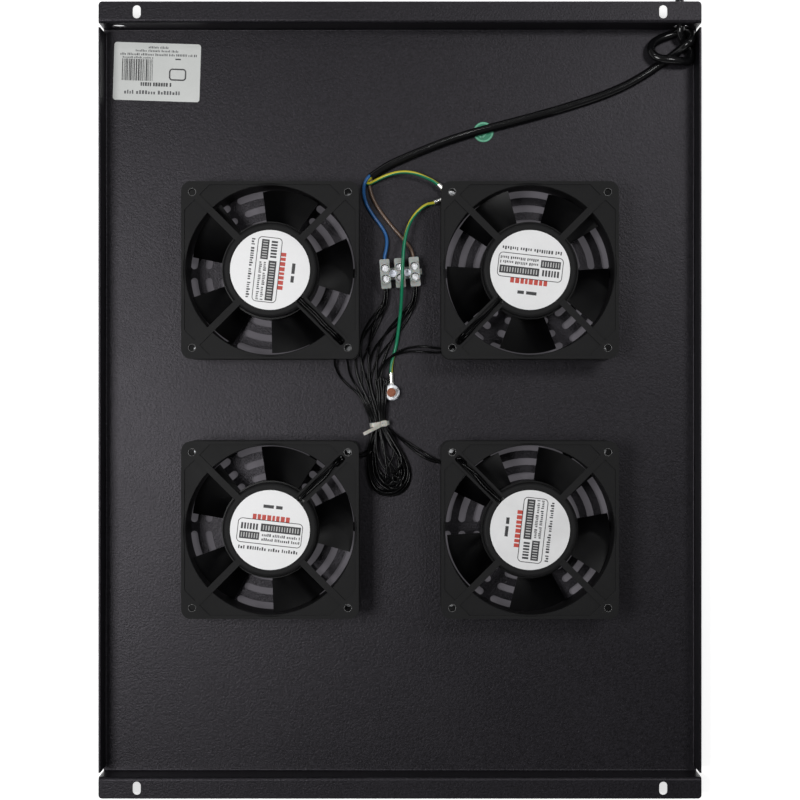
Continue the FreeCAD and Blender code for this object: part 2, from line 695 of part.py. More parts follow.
def terminal_body():
    """Moulded strip: three poles with screw towers, the webs between them, a cut web at one end."""
    block = raised(rectangle(POLE_WIDTH, POLE_LENGTH, POLE_ROUNDING), 0, POLE_HEIGHT)
    tower = raised(rectangle(POLE_WIDTH, TOWER_LENGTH, POLE_WIDTH / 2 - TINY), 0, TOWER_HEIGHT)
    pole = fused([block, tower])
    web = box((0, -WEB_LENGTH / 2, 0), (POLE_PITCH, WEB_LENGTH / 2, WEB_HEIGHT))
    stub = box((0, -WEB_LENGTH / 4, 0), (POLE_WIDTH / 2 + WEB_STUB, WEB_LENGTH / 4, WEB_HEIGHT))
    pieces = [turned(pole, 0, x) for x in pole_offsets()]
    pieces += [turned(web, 0, x) for x in pole_offsets()[:2]]
    pieces.append(turned(stub, 0, pole_offsets()[2]))
    cutters = []
    for x in pole_offsets():
        cutters.append(along_y(TUNNEL_DIAMETER / 2, POLE_LENGTH + 2, x, TUNNEL_RISE))
        for y in (-WELL_SPACING / 2, WELL_SPACING / 2):
            cutters.append(cylinder(WELL_DIAMETER / 2, TUNNEL_RISE, TOWER_HEIGHT + 1, x, y))
    for x in (-POLE_PITCH / 2, POLE_PITCH / 2):
        cutters.append(cylinder(MOUNT_SCREW_DIAMETER / 2 + FIT_CLEARANCE, -1, WEB_HEIGHT + 1, x))
        head_room = MOUNT_HEAD_DIAMETER / 2 + 2 * FIT_CLEARANCE
        cutters.append(cylinder(head_room, WEB_HEIGHT, TOWER_HEIGHT + 1, x))
    return fused(pieces).cut(cutters)


def terminal_inserts():
    """Brass tubes in the poles, each with two threaded holes for its clamp screws."""
    inserts = []
    for x in pole_offsets():
        insert = along_y(TUNNEL_DIAMETER / 2, INSERT_LENGTH, x, TUNNEL_RISE)
        cutters = [along_y(INSERT_BORE / 2, INSERT_LENGTH + 2, x, TUNNEL_RISE)]
        for y in (-WELL_SPACING / 2, WELL_SPACING / 2):
            hole = CLAMP_SCREW_DIAMETER / 2 + FIT_CLEARANCE
            cutters.append(cylinder(hole, TUNNEL_RISE, TOWER_HEIGHT, x, y))
        inserts.append(insert.cut(cutters))
    return Part.makeCompound(inserts)


def slotted_screw(head, head_height, shank, tip_z, seat_z, slot_turn):
    """Cheese-head screw with a driver slot, from its tip up to its head."""
    top = seat_z + head_height
    screw = cylinder(head / 2, seat_z, top).fuse(cylinder(shank / 2, tip_z, seat_z))
    half = SCREW_SLOT_WIDTH / 2
    slot = box((-head, -half, top - SCREW_SLOT_DEPTH), (head, half, top + 1))
    return screw.cut(turned(slot, slot_turn))


def terminal_clamp_screws():
    """Two clamp screws in each pole, run down into the brass insert."""
    screws = []
    tip = TUNNEL_RISE + INSERT_BORE / 4
    for i, x in enumerate(pole_offsets()):
        for j, y in enumerate((-WELL_SPACING / 2, WELL_SPACING / 2)):
            turn = 35 * i + 70 * j
            screw = slotted_screw(
                CLAMP_HEAD_DIAMETER, CLAMP_HEAD_HEIGHT, CLAMP_SCREW_DIAMETER, tip, CLAMP_HEAD_RISE, turn
            )
            screws.append(turned(screw, 0, x, y))
    return Part.makeCompound(screws)


def terminal_mount_screws():
    """The two screws that hold the strip to the plate, seated on its webs."""
    tip = -SHEET - 0.5
    screws = []
    for i, x in enumerate((-POLE_PITCH / 2, POLE_PITCH / 2)):
        screw = slotted_screw(
            MOUNT_HEAD_DIAMETER, MOUNT_HEAD_HEIGHT, MOUNT_SCREW_DIAMETER, tip, WEB_HEIGHT, 20 + 50 * i
        )
        screws.append(turned(screw, 0, x))
    return Part.makeCompound(screws)


# --- Earth stud and ring terminals ------------------------------------------------------------


def nut(across_flats, height, bore):
    """Hexagon nut on the XY plane, its top corners chamfered."""
    corner = across_flats / math.sqrt(3)
    chamfer = 0.08 * across_flats
    edge = [(corner, 0, 0), (corner, height - chamfer / 2, 0), (corner - chamfer, height, 0)]
    cap = revolved([(0, 0, 0)] + edge + [(0, height, 0)])
    return raised(hexagon(across_flats), 0, height).common(cap).cut(cylinder(bore, -1, height + 1))


def ring_terminal(ring_radius, hole_radius):
    """Crimp ring terminal about its hole, its barrel along +X, lying on the XY plane."""
    barrel_start = ring_radius + BARREL_GAP
    ring = cylinder(ring_radius, 0, RING_THICKNESS)
    half = TONGUE_WIDTH / 2
    tongue = box((0, -half, 0), (barrel_start + 1, half, RING_THICKNESS))
    axis_start = Vector(barrel_start, 0, BARREL_RADIUS)
    barrel = Part.makeCylinder(BARREL_RADIUS, BARREL_LENGTH, axis_start, Vector(1, 0, 0))
    solid = fused([ring, tongue, barrel])
    bore = Part.makeCylinder(WIRE / 2 + SHAFT_CLEARANCE, BARREL_LENGTH + 2, axis_start, Vector(1, 0, 0))
    return solid.cut([bore, cylinder(hole_radius, -1, RING_THICKNESS + 1)])


def barrel_point(centre, angle, ring_radius, distance):
    """Point on a placed ring terminal's barrel axis, this far beyond the barrel's start."""
    reach = ring_radius + BARREL_GAP + distance
    direction = Vector(math.cos(math.radians(angle)), math.sin(math.radians(angle)), 0)
    return centre + direction * reach + UP * BARREL_RADIUS


def stud_centre():
    """Axis of the earth stud, at the plate's face."""
    return Vector(STUD_X, STUD_Y, PLATE_TOP)


def earth_corner(stack):
    """On fan 2's corner screw, above this many ring terminals."""
    place = fan_place(2)
    corner = place.multVec(Vector(FAN_HOLE_PITCH / 2, -FAN_HOLE_PITCH / 2, FLANGE_THICKNESS))
    return corner + UP * (stack * RING_THICKNESS)


def fan_ring_terminals():
    """Two ring terminals stacked on fan 2's corner screw."""
    one = ring_terminal(FAN_RING_RADIUS, SCREW_RADIUS + FIT_CLEARANCE)
    placed = []
    for stack, angle in enumerate(RING_ANGLES):
        at = earth_corner(stack)
        placed.append(turned(one, angle, at.x, at.y, at.z))
    return Part.makeCompound(placed)


def fan_earth_nut():
    """Nut that clamps the two ring terminals to the fan's flange."""
    at = earth_corner(len(RING_ANGLES))
    return turned(nut(M4_NUT_WIDTH, M4_NUT_HEIGHT, SCREW_RADIUS + SHAFT_CLEARANCE), 15, at.x, at.y, at.z)


def stud_pieces():
    """Earth stud, its ring terminal, washer and nut, in the order they stack."""
    at = stud_centre()
    bore = STUD_RADIUS + SHAFT_CLEARANCE
    stud = cylinder(STUD_RADIUS, 0, STUD_HEIGHT)
    ring = ring_terminal(STUD_RING_RADIUS, STUD_RADIUS + FIT_CLEARANCE)
    washer = cylinder(WASHER_RADIUS, 0, WASHER_THICKNESS).cut(cylinder(bore, -1, WASHER_THICKNESS + 1))
    washer_z = at.z + RING_THICKNESS
    nut_z = washer_z + WASHER_THICKNESS
    return {
        "earth_stud": turned(stud, 0, at.x, at.y, at.z),
        "stud_ring_terminal": turned(ring, STUD_RING_ANGLE, at.x, at.y, at.z),
        "earth_washer": turned(washer, 0, at.x, at.y, washer_z),
        "earth_nut": turned(nut(M6_NUT_WIDTH, M6_NUT_HEIGHT, bore), 0, at.x, at.y, nut_z),
    }


# --- Cords ------------------------------------------------------------------------------------


def cord_tube(name, points, diameter):
    """Tube along straight runs joined by tangent arcs; prints its length, radii and volume."""
    corners = [Vector(*point) for point in points]
    edges = []
    radii = []
    start = corners[0]
    for before, here, after in zip(corners, corners[1:], corners[2:]):
        half_turn = (here - before).getAngle(after - here) / 2
        shorter = min(here.distanceToPoint(before), here.distanceToPoint(after))
        radii.append(ARC_SHARE * shorter / math.tan(half_turn))
        first, middle, last = corner_arc(before, here, after, radii[-1])
        edges.append(Part.LineSegment(start, first).toShape())
        edges.append(Part.Arc(first, middle, last).toShape())
        start = last
    edges.append(Part.LineSegment(start, corners[-1]).toShape())
    path = Part.Wire(edges)
    section = Part.Wire(Part.Circle(corners[0], corners[1] - corners[0], diameter / 2).toShape())
    tube = path.makePipeShell([section], True, False)
    expected = math.pi * diameter**2 / 4 * path.Length
    print(
        f"{name}: length {path.Length:.1f}, radii {min(radii):.1f} to {max(radii):.1f}, "
        f"smallest {min(radii) / diameter:.2f} diameters, volume {tube.Volume / expected:.4f} of expected"
    )
    return tube


def lead_exit(number):
    """Route of a fan's leads from its hub along the channel, through the flange and down."""
    low = FAN_DEPTH - CHANNEL_DEPTH + LEAD_PAIR / 2 + FIT_CLEARANCE
    drop = LEAD_HOLE_REACH + LEAD_HOLE_LENGTH / 2 - LEAD_PAIR - 1
    start, bend = LABEL_RECESS_RADIUS + LEAD_PAIR + 1, drop - 3.2
    steps = [
        (start, 0.0, low),
        (start + 0.34 * (bend - start), 0.5, low),
        (start + 0.66 * (bend - start), -0.4, low),
        (start + 0.88 * (bend - start), 0.2, low),
        (bend, 0.0, low - 0.2),
        (drop - 0.4, 0.0, low - 2.0),
        (drop + 0.2, 0.0, low - 5.6),
        (drop + 0.2, 0.4, low - 12.0),
    ]
    place = fan_place(number).multiply(Placement(ORIGIN, Rotation(UP, 45)))
    return [tuple(place.multVec(Vector(*step))) for step in steps]


def wires():
    """The wires and leads that the tray holds, each along its own route."""
    blue = [(-20.5, 154.9, 5.9), (-22.9, 152.6, 5.5), (-24.6, 148.4, 4.9), (-25.2, 142.5, 4.7)]
    blue += [(-23.4, 135.5, 4.7), (-19.2, 128.2, 4.8), (-14.0, 121.6, 4.7), (-10.0, 115.3, 5.2)]
    blue += [(-8.8, 109.2, 6.6), (-9.6, 103.2, 8.0)]
    blue += [tuple(wire_entry(1, 1, -4.0)), tuple(wire_entry(1, 1, WIRE_IN_INSERT))]
    brown = [(-19.0, 152.9, 5.9), (-20.7, 151.2, 5.4), (-21.2, 148.0, 4.9), (-20.3, 143.6, 4.7)]
    brown += [(-18.2, 137.9, 4.7), (-14.6, 131.7, 4.9), (-9.4, 124.6, 5.0), (-3.4, 117.4, 5.2)]
    brown += [(2.4, 110.9, 6.2), (6.8, 105.6, 7.8)]
    brown += [tuple(wire_entry(3, 1, -4.0)), tuple(wire_entry(3, 1, WIRE_IN_INSERT))]
    first, second = RING_ANGLES
    crimp = BARREL_LENGTH - WIRE_IN_BARREL
    earth_in = [(-19.7, 153.9, 7.9), (-22.6, 151.7, 8.3), (-24.4, 149.2, 9.0), (-23.0, 146.4, 9.8)]
    earth_in += [(-19.4, 146.9, 10.6), (-14.2, 150.6, 11.9), (-7.6, 154.8, 13.2), (1.0, 156.8, 14.0)]
    earth_in += [(10.0, 156.0, 13.5), (17.6, 153.2, 12.0)]
    earth_in.append(tuple(barrel_point(earth_corner(0), first, FAN_RING_RADIUS, BARREL_LENGTH + 2.5)))
    earth_in.append(tuple(barrel_point(earth_corner(0), first, FAN_RING_RADIUS, crimp)))
    link = [tuple(barrel_point(earth_corner(1), second, FAN_RING_RADIUS, crimp))]
    link.append(tuple(barrel_point(earth_corner(1), second, FAN_RING_RADIUS, BARREL_LENGTH + 1.5)))
    link += [(18.2, 134.6, 11.6), (12.6, 130.2, 13.0), (7.6, 123.6, 15.2), (4.4, 115.4, 17.6)]
    link += [(2.6, 105.6, 19.4), (1.9, 94.0, 20.2), (1.5, 83.0, 19.9), (1.2, 73.6, 17.0)]
    link += [(0.8, 65.2, 12.4), (-0.2, 55.3, 9.6), (-1.5, 45.0, 7.0), (-3.0, 35.4, 4.8)]
    link.append(tuple(barrel_point(stud_centre(), STUD_RING_ANGLE, STUD_RING_RADIUS, BARREL_LENGTH + 6)))
    link.append(tuple(barrel_point(stud_centre(), STUD_RING_ANGLE, STUD_RING_RADIUS, crimp)))
    neutral = [tuple(wire_entry(1, -1, 0.0)), tuple(wire_entry(1, -1, -5.0)), (-10.6, 65.4, 7.4)]
    neutral += [(-14.8, 58.6, 5.6), (-20.0, 49.6, 5.3), (-23.8, 40.2, 5.2), (-26.0, 30.4, 5.2)]
    neutral += [(-26.4, 19.6, 5.2), (-24.0, 8.6, 5.2), (-21.2, -0.6, 5.4), (-19.0, -7.0, 6.2)]
    neutral.append((-17.6, -12.5, 7.0))
    live = [tuple(wire_entry(3, -1, 0.0)), tuple(wire_entry(3, -1, -5.0)), (9.4, 67.0, 7.2)]
    live += [(6.0, 61.6, 5.5), (1.0, 54.4, 5.2), (-6.4, 45.4, 5.2), (-12.6, 36.4, 5.2)]
    live += [(-16.6, 26.0, 5.2), (-18.4, 15.0, 5.2), (-18.0, 4.4, 5.4), (-15.9, -5.0, 6.2)]
    live.append((-13.8, -12.5, 7.0))
    fan_1 = lead_exit(1)
    fan_1 += [(-38.6, 35.8, 17.6), (-37.2, 31.6, 14.6), (-36.6, 26.6, 10.4), (-36.2, 20.8, 6.6)]
    fan_1 += [(-34.0, 14.0, 4.9), (-29.9, 6.4, 4.8), (-26.2, -1.0, 4.9), (-22.9, -7.2, 6.0)]
    fan_1.append((-20.8, -12.6, 7.2))
    fan_2 = lead_exit(2)
    fan_2 += [(36.6, 36.6, 18.2), (32.6, 34.6, 16.0), (27.2, 33.8, 12.6), (20.6, 34.6, 8.6)]
    fan_2 += [(12.6, 35.4, 6.9), (4.0, 34.6, 7.2), (-4.0, 31.6, 7.8), (-9.0, 26.6, 7.6)]
    fan_2 += [(-11.4, 21.4, 7.2), (-11.8, 16.7, 7.2)]
    fan_3 = lead_exit(3)
    fan_3 += [(-36.8, -37.8, 18.0), (-32.8, -38.4, 14.6), (-28.6, -38.0, 10.8), (-24.0, -37.0, 8.2)]
    fan_3.append((-20.6, -36.4, 7.2))
    fan_4 = lead_exit(4)
    fan_4 += [(37.0, -41.6, 18.0), (32.4, -43.0, 14.2), (27.2, -43.2, 10.2), (21.0, -40.8, 6.8)]
    fan_4 += [(13.4, -36.0, 5.0), (5.6, -30.4, 4.9), (-0.2, -26.0, 5.8), (-4.6, -22.6, 7.0)]
    routes = {
        "blue_wire": (blue, WIRE),
        "brown_wire": (brown, WIRE),
        "earth_wire_in": (earth_in, WIRE),
        "earth_wire_link": (link, WIRE),
        "neutral_leads": (neutral, LEAD_BUNDLE),
        "live_leads": (live, LEAD_BUNDLE),
        "fan_1_leads": (fan_1, LEAD_PAIR),
        "fan_2_leads": (fan_2, LEAD_PAIR),
        "fan_3_leads": (fan_3, LEAD_PAIR),
        "fan_4_leads": (fan_4, LEAD_PAIR),
    }
    return {name: cord_tube(name, points, diameter) for name, (points, diameter) in routes.items()}


def power_cord_routes():
    """Route of the cord in the tray, with its knot, out to the coil; and of its tail to the plug."""
    main = [(-19.7, 153.9, 6.6), (-10.1, 161.0, 6.6), (1.6, 166.4, 6.6), (17.5, 173.0, 6.6)]
    main += [(36.0, 180.2, 6.6), (55.5, 186.0, 6.7), (74.0, 190.8, 6.6), (95.0, 196.4, 6.6)]
    main += [(116.0, 202.4, 6.6), (137.0, 209.2, 6.6)]
    knot = [(-39.0, -40.5, 6.6), (-25.0, -32.7, 6.6), (-14.4, -25.5, 6.5), (-6.4, -20.1, 6.9)]
    knot += [(-1.2, -16.3, 11.4), (3.0, -13.3, 16.2), (7.5, -9.6, 16.8), (7.3, -4.7, 12.4)]
    knot += [(3.2, -2.8, 7.6), (-4.0, -3.8, 6.4), (-13.0, -6.7, 7.0), (-19.4, -10.9, 9.0)]
    knot += [(-20.8, -17.3, 11.6), (-15.8, -22.1, 13.4), (-7.6, -22.9, 14.0), (0.2, -23.7, 12.6)]
    knot += [(6.2, -23.7, 10.4), (7.9, -18.9, 8.8), (6.8, -14.1, 7.9), (2.8, -10.5, 8.9)]
    knot += [(0.0, -7.1, 12.3), (-0.6, -2.9, 14.2), (0.0, 3.0, 14.4), (0.0, 11.0, 12.2)]
    knot += [(-0.4, 20.0, 8.2), (-0.8, 33.0, 4.4), (-0.2, 46.0, 3.1), (0.0, 56.0, 3.1)]
    main += [(CABLE_HOLE_X + x, END_INNER + y, z) for x, y, z in knot]
    tail = [(138.0, 367.0, 8.4), (126.0, 366.8, 6.0), (112.0, 365.8, 3.8)]
    tail += [(99.0, 363.6, 4.4), (86.0, 361.4, 8.2)]
    return main, tail


def power_cord():
    """The free lengths of the power cord: from its stripped end to the coil, and the plug's tail."""
    main, tail = power_cord_routes()
    tail += [tuple(plug_place().multVec(Vector(0, 0, plug_end() + step))) for step in (12, 0)]
    return Part.makeCompound(
        [cord_tube("power_cord", main, POWER_CORD), cord_tube("power_cord tail", tail, POWER_CORD)]
    )


def power_cord_coil():
    """Outer shape of the coiled length: a ring with rounded edges."""
    inner = COIL_RADIUS - COIL_COLUMNS * POWER_CORD / 2
    outer = COIL_RADIUS + COIL_COLUMNS * POWER_CORD / 2
    height = COIL_LAYERS * POWER_CORD
    round_edge = POWER_CORD / 2
    corners = [(inner, 0), (outer, 0), (outer, height), (inner, height)]
    return turned(revolved([(r, z, round_edge) for r, z in corners]), 0, COIL_X, COIL_Y)


def plug_end():
    """Length of the plug from its face to the end of its strain relief."""
    return PLUG_LENGTH + RELIEF_LENGTH


def plug_place():
    """Placement of the plug on its side: its own +Z leads from the face to the cord."""
    back = Rotation(Vector(0, 1, 0), 90)
    face = Vector(PLUG_X - plug_end(), PLUG_Y, PLUG_RADIUS)
    return Placement(face, Rotation(UP, PLUG_TURN).multiply(back))


def plug_pieces():
    """Earthed mains plug: moulded body with its strain relief, two pins and two earth clips."""
    end = plug_end()
    body = revolved(
        [
            (0, 0, 0),
            (PLUG_RADIUS, 0, 1.0),
            (PLUG_RADIUS, PLUG_FACE_LENGTH, 4.0),
            (PLUG_RADIUS * 0.72, PLUG_LENGTH * 0.62, 6.0),
            (PLUG_NECK_RADIUS, PLUG_LENGTH, 2.0),
            (RELIEF_RADIUS, PLUG_LENGTH + 2, 1.0),
            (POWER_CORD / 2 + 0.8, end, 0),
            (0, end, 0),
        ]
    )
    half_clip = EARTH_CLIP_WIDTH / 2
    slot_floor = PLUG_RADIUS - EARTH_SLOT_DEPTH
    slot = box((slot_floor, -half_clip, -1), (PLUG_RADIUS + 1, half_clip, EARTH_CLIP_LENGTH))
    half_groove = GUIDE_GROOVE_WIDTH / 2
    groove_floor = PLUG_RADIUS - GUIDE_GROOVE_DEPTH
    groove = box((-half_groove, groove_floor, -1), (half_groove, PLUG_RADIUS + 1, PLUG_FACE_LENGTH))
    pin_offsets = (-PLUG_PIN_SPACING / 2, PLUG_PIN_SPACING / 2)
    sockets = [cylinder(PLUG_PIN_RADIUS, -1, PLUG_PIN_ROOT, y=y) for y in pin_offsets]
    body = body.cut([slot, turned(slot, 180), groove, turned(groove, 180)] + sockets)
    clip_face = slot_floor + EARTH_CLIP_THICKNESS
    clip = box((slot_floor, -half_clip, 0), (clip_face, half_clip, EARTH_CLIP_LENGTH))
    side = [(PLUG_PIN_RADIUS, -PLUG_PIN_LENGTH, 1.6), (PLUG_PIN_RADIUS, PLUG_PIN_ROOT, 0)]
    pin = revolved([(0, -PLUG_PIN_LENGTH, 0)] + side + [(0, PLUG_PIN_ROOT, 0)])
    pieces = {
        "plug_body": body,
        "plug_pins": Part.makeCompound([turned(pin, 0, y=y) for y in pin_offsets]),
        "plug_earth_contacts": Part.makeCompound([clip, turned(clip, 180)]),
    }
    for piece in pieces.values():
        piece.Placement = plug_place().multiply(piece.Placement)
    return pieces


# --- Folded leads, their tie, labels ----------------------------------------------------------


def tie_loop():
    """Band of the cable tie round the leads."""
    inner = rectangle(TIE_LOOP_WIDTH, TIE_LOOP_HEIGHT, 1.6)
    outer = rectangle(TIE_LOOP_WIDTH + 2 * TIE_BAND, TIE_LOOP_HEIGHT + 2 * TIE_BAND, 1.6 + TIE_BAND)
    ring = outer.cut(inner)
    ring.rotate(ORIGIN, Vector(1, 0, 0), 90)
    band = ring.extrude(Vector(0, TIE_BAND_WIDTH, 0))
    band.translate(Vector(0, -TIE_BAND_WIDTH / 2, 0))
    middle = PLATE_TOP + FIT_CLEARANCE + TIE_BAND + TIE_LOOP_HEIGHT / 2
    return turned(band, TIE_TURN, TIE_X, TIE_Y, middle)


def cable_tie():
    """Cable tie: the band, its head at one side and the cut tail."""
    top = PLATE_TOP + FIT_CLEARANCE + 2 * TIE_BAND + TIE_LOOP_HEIGHT
    head_x = TIE_LOOP_WIDTH / 2 - TIE_HEAD / 2
    head = raised(rectangle(TIE_HEAD, TIE_HEAD, 0.8), top - TIE_BAND, top - TIE_BAND + TIE_HEAD_HEIGHT)
    head = turned(head, TIE_TURN, TIE_X + head_x, TIE_Y + 0.8)
    tail = raised(rectangle(TIE_TAIL_LENGTH, TIE_BAND_WIDTH * 0.8, 1.0), 0, TIE_BAND)
    tail = turned(tail, 0, TIE_TAIL_LENGTH / 2)
    tail = turned(tail, TIE_TAIL_TURN, TIE_X + head_x, TIE_Y + 0.6, top + TIE_BAND)
    return fused([tie_loop(), head, tail])


def lead_hank():
    """The leads' folded surplus: one flat teardrop below the tie and the folds above it."""
    edge = [(-20.9, -13.0, 1.0), (-8.6, -13.0, 1.0), (-8.4, -20.2, 3.0), (-2.8, -27.0, 8.0)]
    edge += [(8.6, -44.0, 8.0), (7.4, -60.0, 8.0), (-3.0, -68.2, 7.0), (-14.6, -67.0, 8.0)]
    edge.append((-21.0, -50.0, 12.0))
    edge += [(-19.6, -32.0, 12.0), (-20.6, -21.0, 3.0)]
    folds = [(-11.5, -13.8, 0), (-8.7, -13.8, 0), (-11.8, -2.0, 3.0), (-11.8, 10.9, 1.0), (-8.2, 12.9, 1.0)]
    folds += [(-8.2, 16.4, 1.2), (-15.4, 16.4, 1.2), (-15.4, 8.0, 4.0), (-13.6, -2.0, 4.0)]
    low = PLATE_TOP
    body = raised(outline(edge), low, low + HANK_HEIGHT)
    top = raised(outline(folds), low, low + HANK_HEIGHT)
    rounded = [edge for edge in body.Edges if abs(edge.BoundBox.ZMax - edge.BoundBox.ZMin) < TINY]
    body = body.makeFillet(HANK_ROUNDING, rounded)
    return fused([body, top]).cut(tie_envelope())


def tie_envelope():
    """Everything outside the tie's loop over the band's width, where the leads are squeezed."""
    loop = rectangle(TIE_LOOP_WIDTH, TIE_LOOP_HEIGHT, 1.6)
    room = rectangle(4 * TIE_LOOP_WIDTH, 4 * TIE_LOOP_HEIGHT).cut(loop)
    room.rotate(ORIGIN, Vector(1, 0, 0), 90)
    band = room.extrude(Vector(0, TIE_BAND_WIDTH, 0))
    band.translate(Vector(0, -TIE_BAND_WIDTH / 2, 0))
    middle = PLATE_TOP + FIT_CLEARANCE + TIE_BAND + TIE_LOOP_HEIGHT / 2
    return turned(band, TIE_TURN, TIE_X, TIE_Y, middle)


def rating_label():
    """Blank label on the plate."""
    length, width, radius = RATING_LABEL
    from_side, from_end = RATING_LABEL_INSET
    label = raised(rectangle(length, width, radius), 0, LABEL_THICKNESS)
    x, y = from_side - TRAY_WIDTH / 2, END_INNER - from_end
    return turned(label, RATING_LABEL_TURN, x, y, PLATE_TOP)


def inspection_sticker():
    """Blank round sticker on the plate."""
    x, y = STICKER_AT
    return cylinder(STICKER_RADIUS, PLATE_TOP, PLATE_TOP + LABEL_THICKNESS, x, y)


# --- Assembly ---------------------------------------------------------------------------------


def placed(shape, place):
    """The shape moved to its place in the tray."""
    copy = shape.copy()
    copy.Placement = place.multiply(copy.Placement)
    return copy


def fan_pieces():
    """The four fans' own pieces, by node name."""
    fixed = {"frame": fan_frame(), "bearings": bearings(), "stator": stator(), "screws": fan_screws()}
    spinning = {"impeller": impeller(), "rotor_ring": rotor_ring(), "shaft": shaft()}
    pieces = {}
    labels = []
    for number, (sx, sy, _, blade_turn) in FANS.items():
        place = fan_place(number)
        for name, shape in fixed.items():
            pieces[f"fan_{number}_{name}"] = placed(shape, place)
        spin = Placement(place.Base, Rotation(UP, blade_turn))
        for name, shape in spinning.items():
            pieces[f"fan_{number}_{name}"] = placed(shape, spin)
        labels.append(placed(fan_label(), place))
    pieces["fan_labels"] = Part.makeCompound(labels)
    return pieces


def all_pieces():
    """Every sub-part in its place, by node name."""
    pieces = {"tray_panel": tray_panel()}
    pieces.update(fan_pieces())
    strip = {
        "terminal_body": terminal_body(),
        "terminal_inserts": terminal_inserts(),
        "terminal_clamp_screws": terminal_clamp_screws(),
        "terminal_mount_screws": terminal_mount_screws(),
    }
    pieces.update({name: placed(shape, terminal_place()) for name, shape in strip.items()})
    pieces.update(stud_pieces())
    pieces["fan_ring_terminals"] = fan_ring_terminals()
    pieces["fan_earth_nut"] = fan_earth_nut()
    pieces.update(wires())
    pieces["lead_hank"] = lead_hank()
    pieces["cable_tie"] = cable_tie()
    pieces["power_cord"] = power_cord()
    pieces["power_cord_coil"] = power_cord_coil()
    pieces.update(plug_pieces())
    pieces["rating_label"] = rating_label()
    pieces["inspection_sticker"] = inspection_sticker()
    return pieces


def main():
    os.makedirs("parts", exist_ok=True)
    for name, shape in all_pieces().items():
        shape.exportStep(f"parts/{name}.step")


main()
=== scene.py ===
"""Cord, wiring, printed labels, finishes and stage of a rack fan tray, round its CAD frame."""

import math

import bpy
import numpy as np
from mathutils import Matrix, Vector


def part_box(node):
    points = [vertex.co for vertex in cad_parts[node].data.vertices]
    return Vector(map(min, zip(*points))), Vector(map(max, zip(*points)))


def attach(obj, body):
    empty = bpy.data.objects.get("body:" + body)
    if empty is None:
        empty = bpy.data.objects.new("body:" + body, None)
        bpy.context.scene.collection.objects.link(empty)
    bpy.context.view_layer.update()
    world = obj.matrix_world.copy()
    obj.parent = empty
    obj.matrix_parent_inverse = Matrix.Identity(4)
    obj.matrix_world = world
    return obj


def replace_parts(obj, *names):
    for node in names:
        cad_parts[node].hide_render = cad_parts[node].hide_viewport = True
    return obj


bl_info = {
    "name": "Rack Fan Tray",
    "version": (1, 0, 0),
    "blender": (4, 5, 0),
    "location": "View3D > Sidebar > Fan Tray",
    "description": "Cord, wiring, labels, finishes and stage for a four-fan rack tray",
    "category": "Object",
}

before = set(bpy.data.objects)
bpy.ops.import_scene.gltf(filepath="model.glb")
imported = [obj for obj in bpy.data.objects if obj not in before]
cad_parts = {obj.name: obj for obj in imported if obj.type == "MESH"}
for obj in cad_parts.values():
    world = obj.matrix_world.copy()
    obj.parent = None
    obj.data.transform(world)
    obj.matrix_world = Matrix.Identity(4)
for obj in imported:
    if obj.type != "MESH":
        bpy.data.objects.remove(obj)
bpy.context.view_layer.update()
TRAY = "tray"
MM = 0.001
FANS = (1, 2, 3, 4)
FAN_TURNS = {1: -90, 2: 180, 3: 0, 4: 90}  # degrees that each fan's frame is turned
HOLE_REACH = 52.4  # from a fan's axis to its corner holes, across and along, in millimetres
PLATE_TOP = 3.4  # height of the tray's plate, in millimetres
INK = 0.02  # thickness of printed ink, in millimetres
INK_DEPTH = 0.005  # how far printed ink reaches into its label, in millimetres
FAN_PRINT_TURN = -6.5  # degrees that a fan label's print is turned on its fan
LABEL_TURN = -1.85  # degrees that the large label is turned
COIL_MIDDLE = (152, 326)
COIL_STEP = 22.5  # degrees between the control points of the coil
STRAND_SIDES = 10
STRAND_STEP = 1.2 * MM
LOOSE = 1.03  # how much further apart than touching the strands of a bundle lie
HANK_STEP = 0.9 * MM
WIRE_SIDES = 18
WIRE_STEP = 0.8 * MM


# --- Meshes --------------------


def placed(name, data):
    """New object of the scene."""
    made = bpy.data.objects.new(name, data)
    bpy.context.scene.collection.objects.link(made)
    return made


def new_mesh(name, shape, material):
    """Mesh of (vertices, faces) with one material."""
    vertices, faces = shape
    mesh = bpy.data.meshes.new(name)
    mesh.from_pydata(vertices.tolist(), [], faces)
    mesh.materials.append(material)
    mesh.update()
    return mesh


def piece(name, shape, finish_name, smooth=True):
    """New piece of the tray, from its (vertices, faces) in metres, with one finish."""
    made = placed(name, new_mesh(name, shape, finish(finish_name)))
    made.data.shade_smooth() if smooth else made.data.shade_flat()
    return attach(made, TRAY)


def new_curve(name, points, resolution):
    """Curve of one open NURBS spline of order 3 that reaches its first and last control point."""
    curve = bpy.data.curves.new(name, "CURVE")
    curve.dimensions = "3D"
    curve.resolution_u = resolution
    spline = curve.splines.new("NURBS")
    spline.points.add(len(points) - 1)
    spline.points.foreach_set("co", np.column_stack([points, np.ones(len(points))]).ravel())
    spline.order_u = 3
    spline.use_endpoint_u = True
    return curve


def spline_line(points):
    """Points along the spline of these control points."""
    curve = new_curve("line", points, 10)
    holder = bpy.data.objects.new("line", curve)
    mesh = bpy.data.meshes.new_from_object(holder)
    line = np.zeros(len(mesh.vertices) * 3)
    mesh.vertices.foreach_get("co", line)
    bpy.data.objects.remove(holder)
    bpy.data.curves.remove(curve)
    bpy.data.meshes.remove(mesh)
    return line.reshape(-1, 3)


def evenly(line, step):
    """Points spaced evenly along a line, about a step apart, and how far along it each lies."""
    along = np.concatenate([[0], np.cumsum(np.linalg.norm(np.diff(line, axis=0), axis=1))])
    count = max(int(round(along[-1] / step)), 2)
    at = np.linspace(0, along[-1], count + 1)
    return np.column_stack([np.interp(at, along, line[:, i]) for i in range(3)]), at


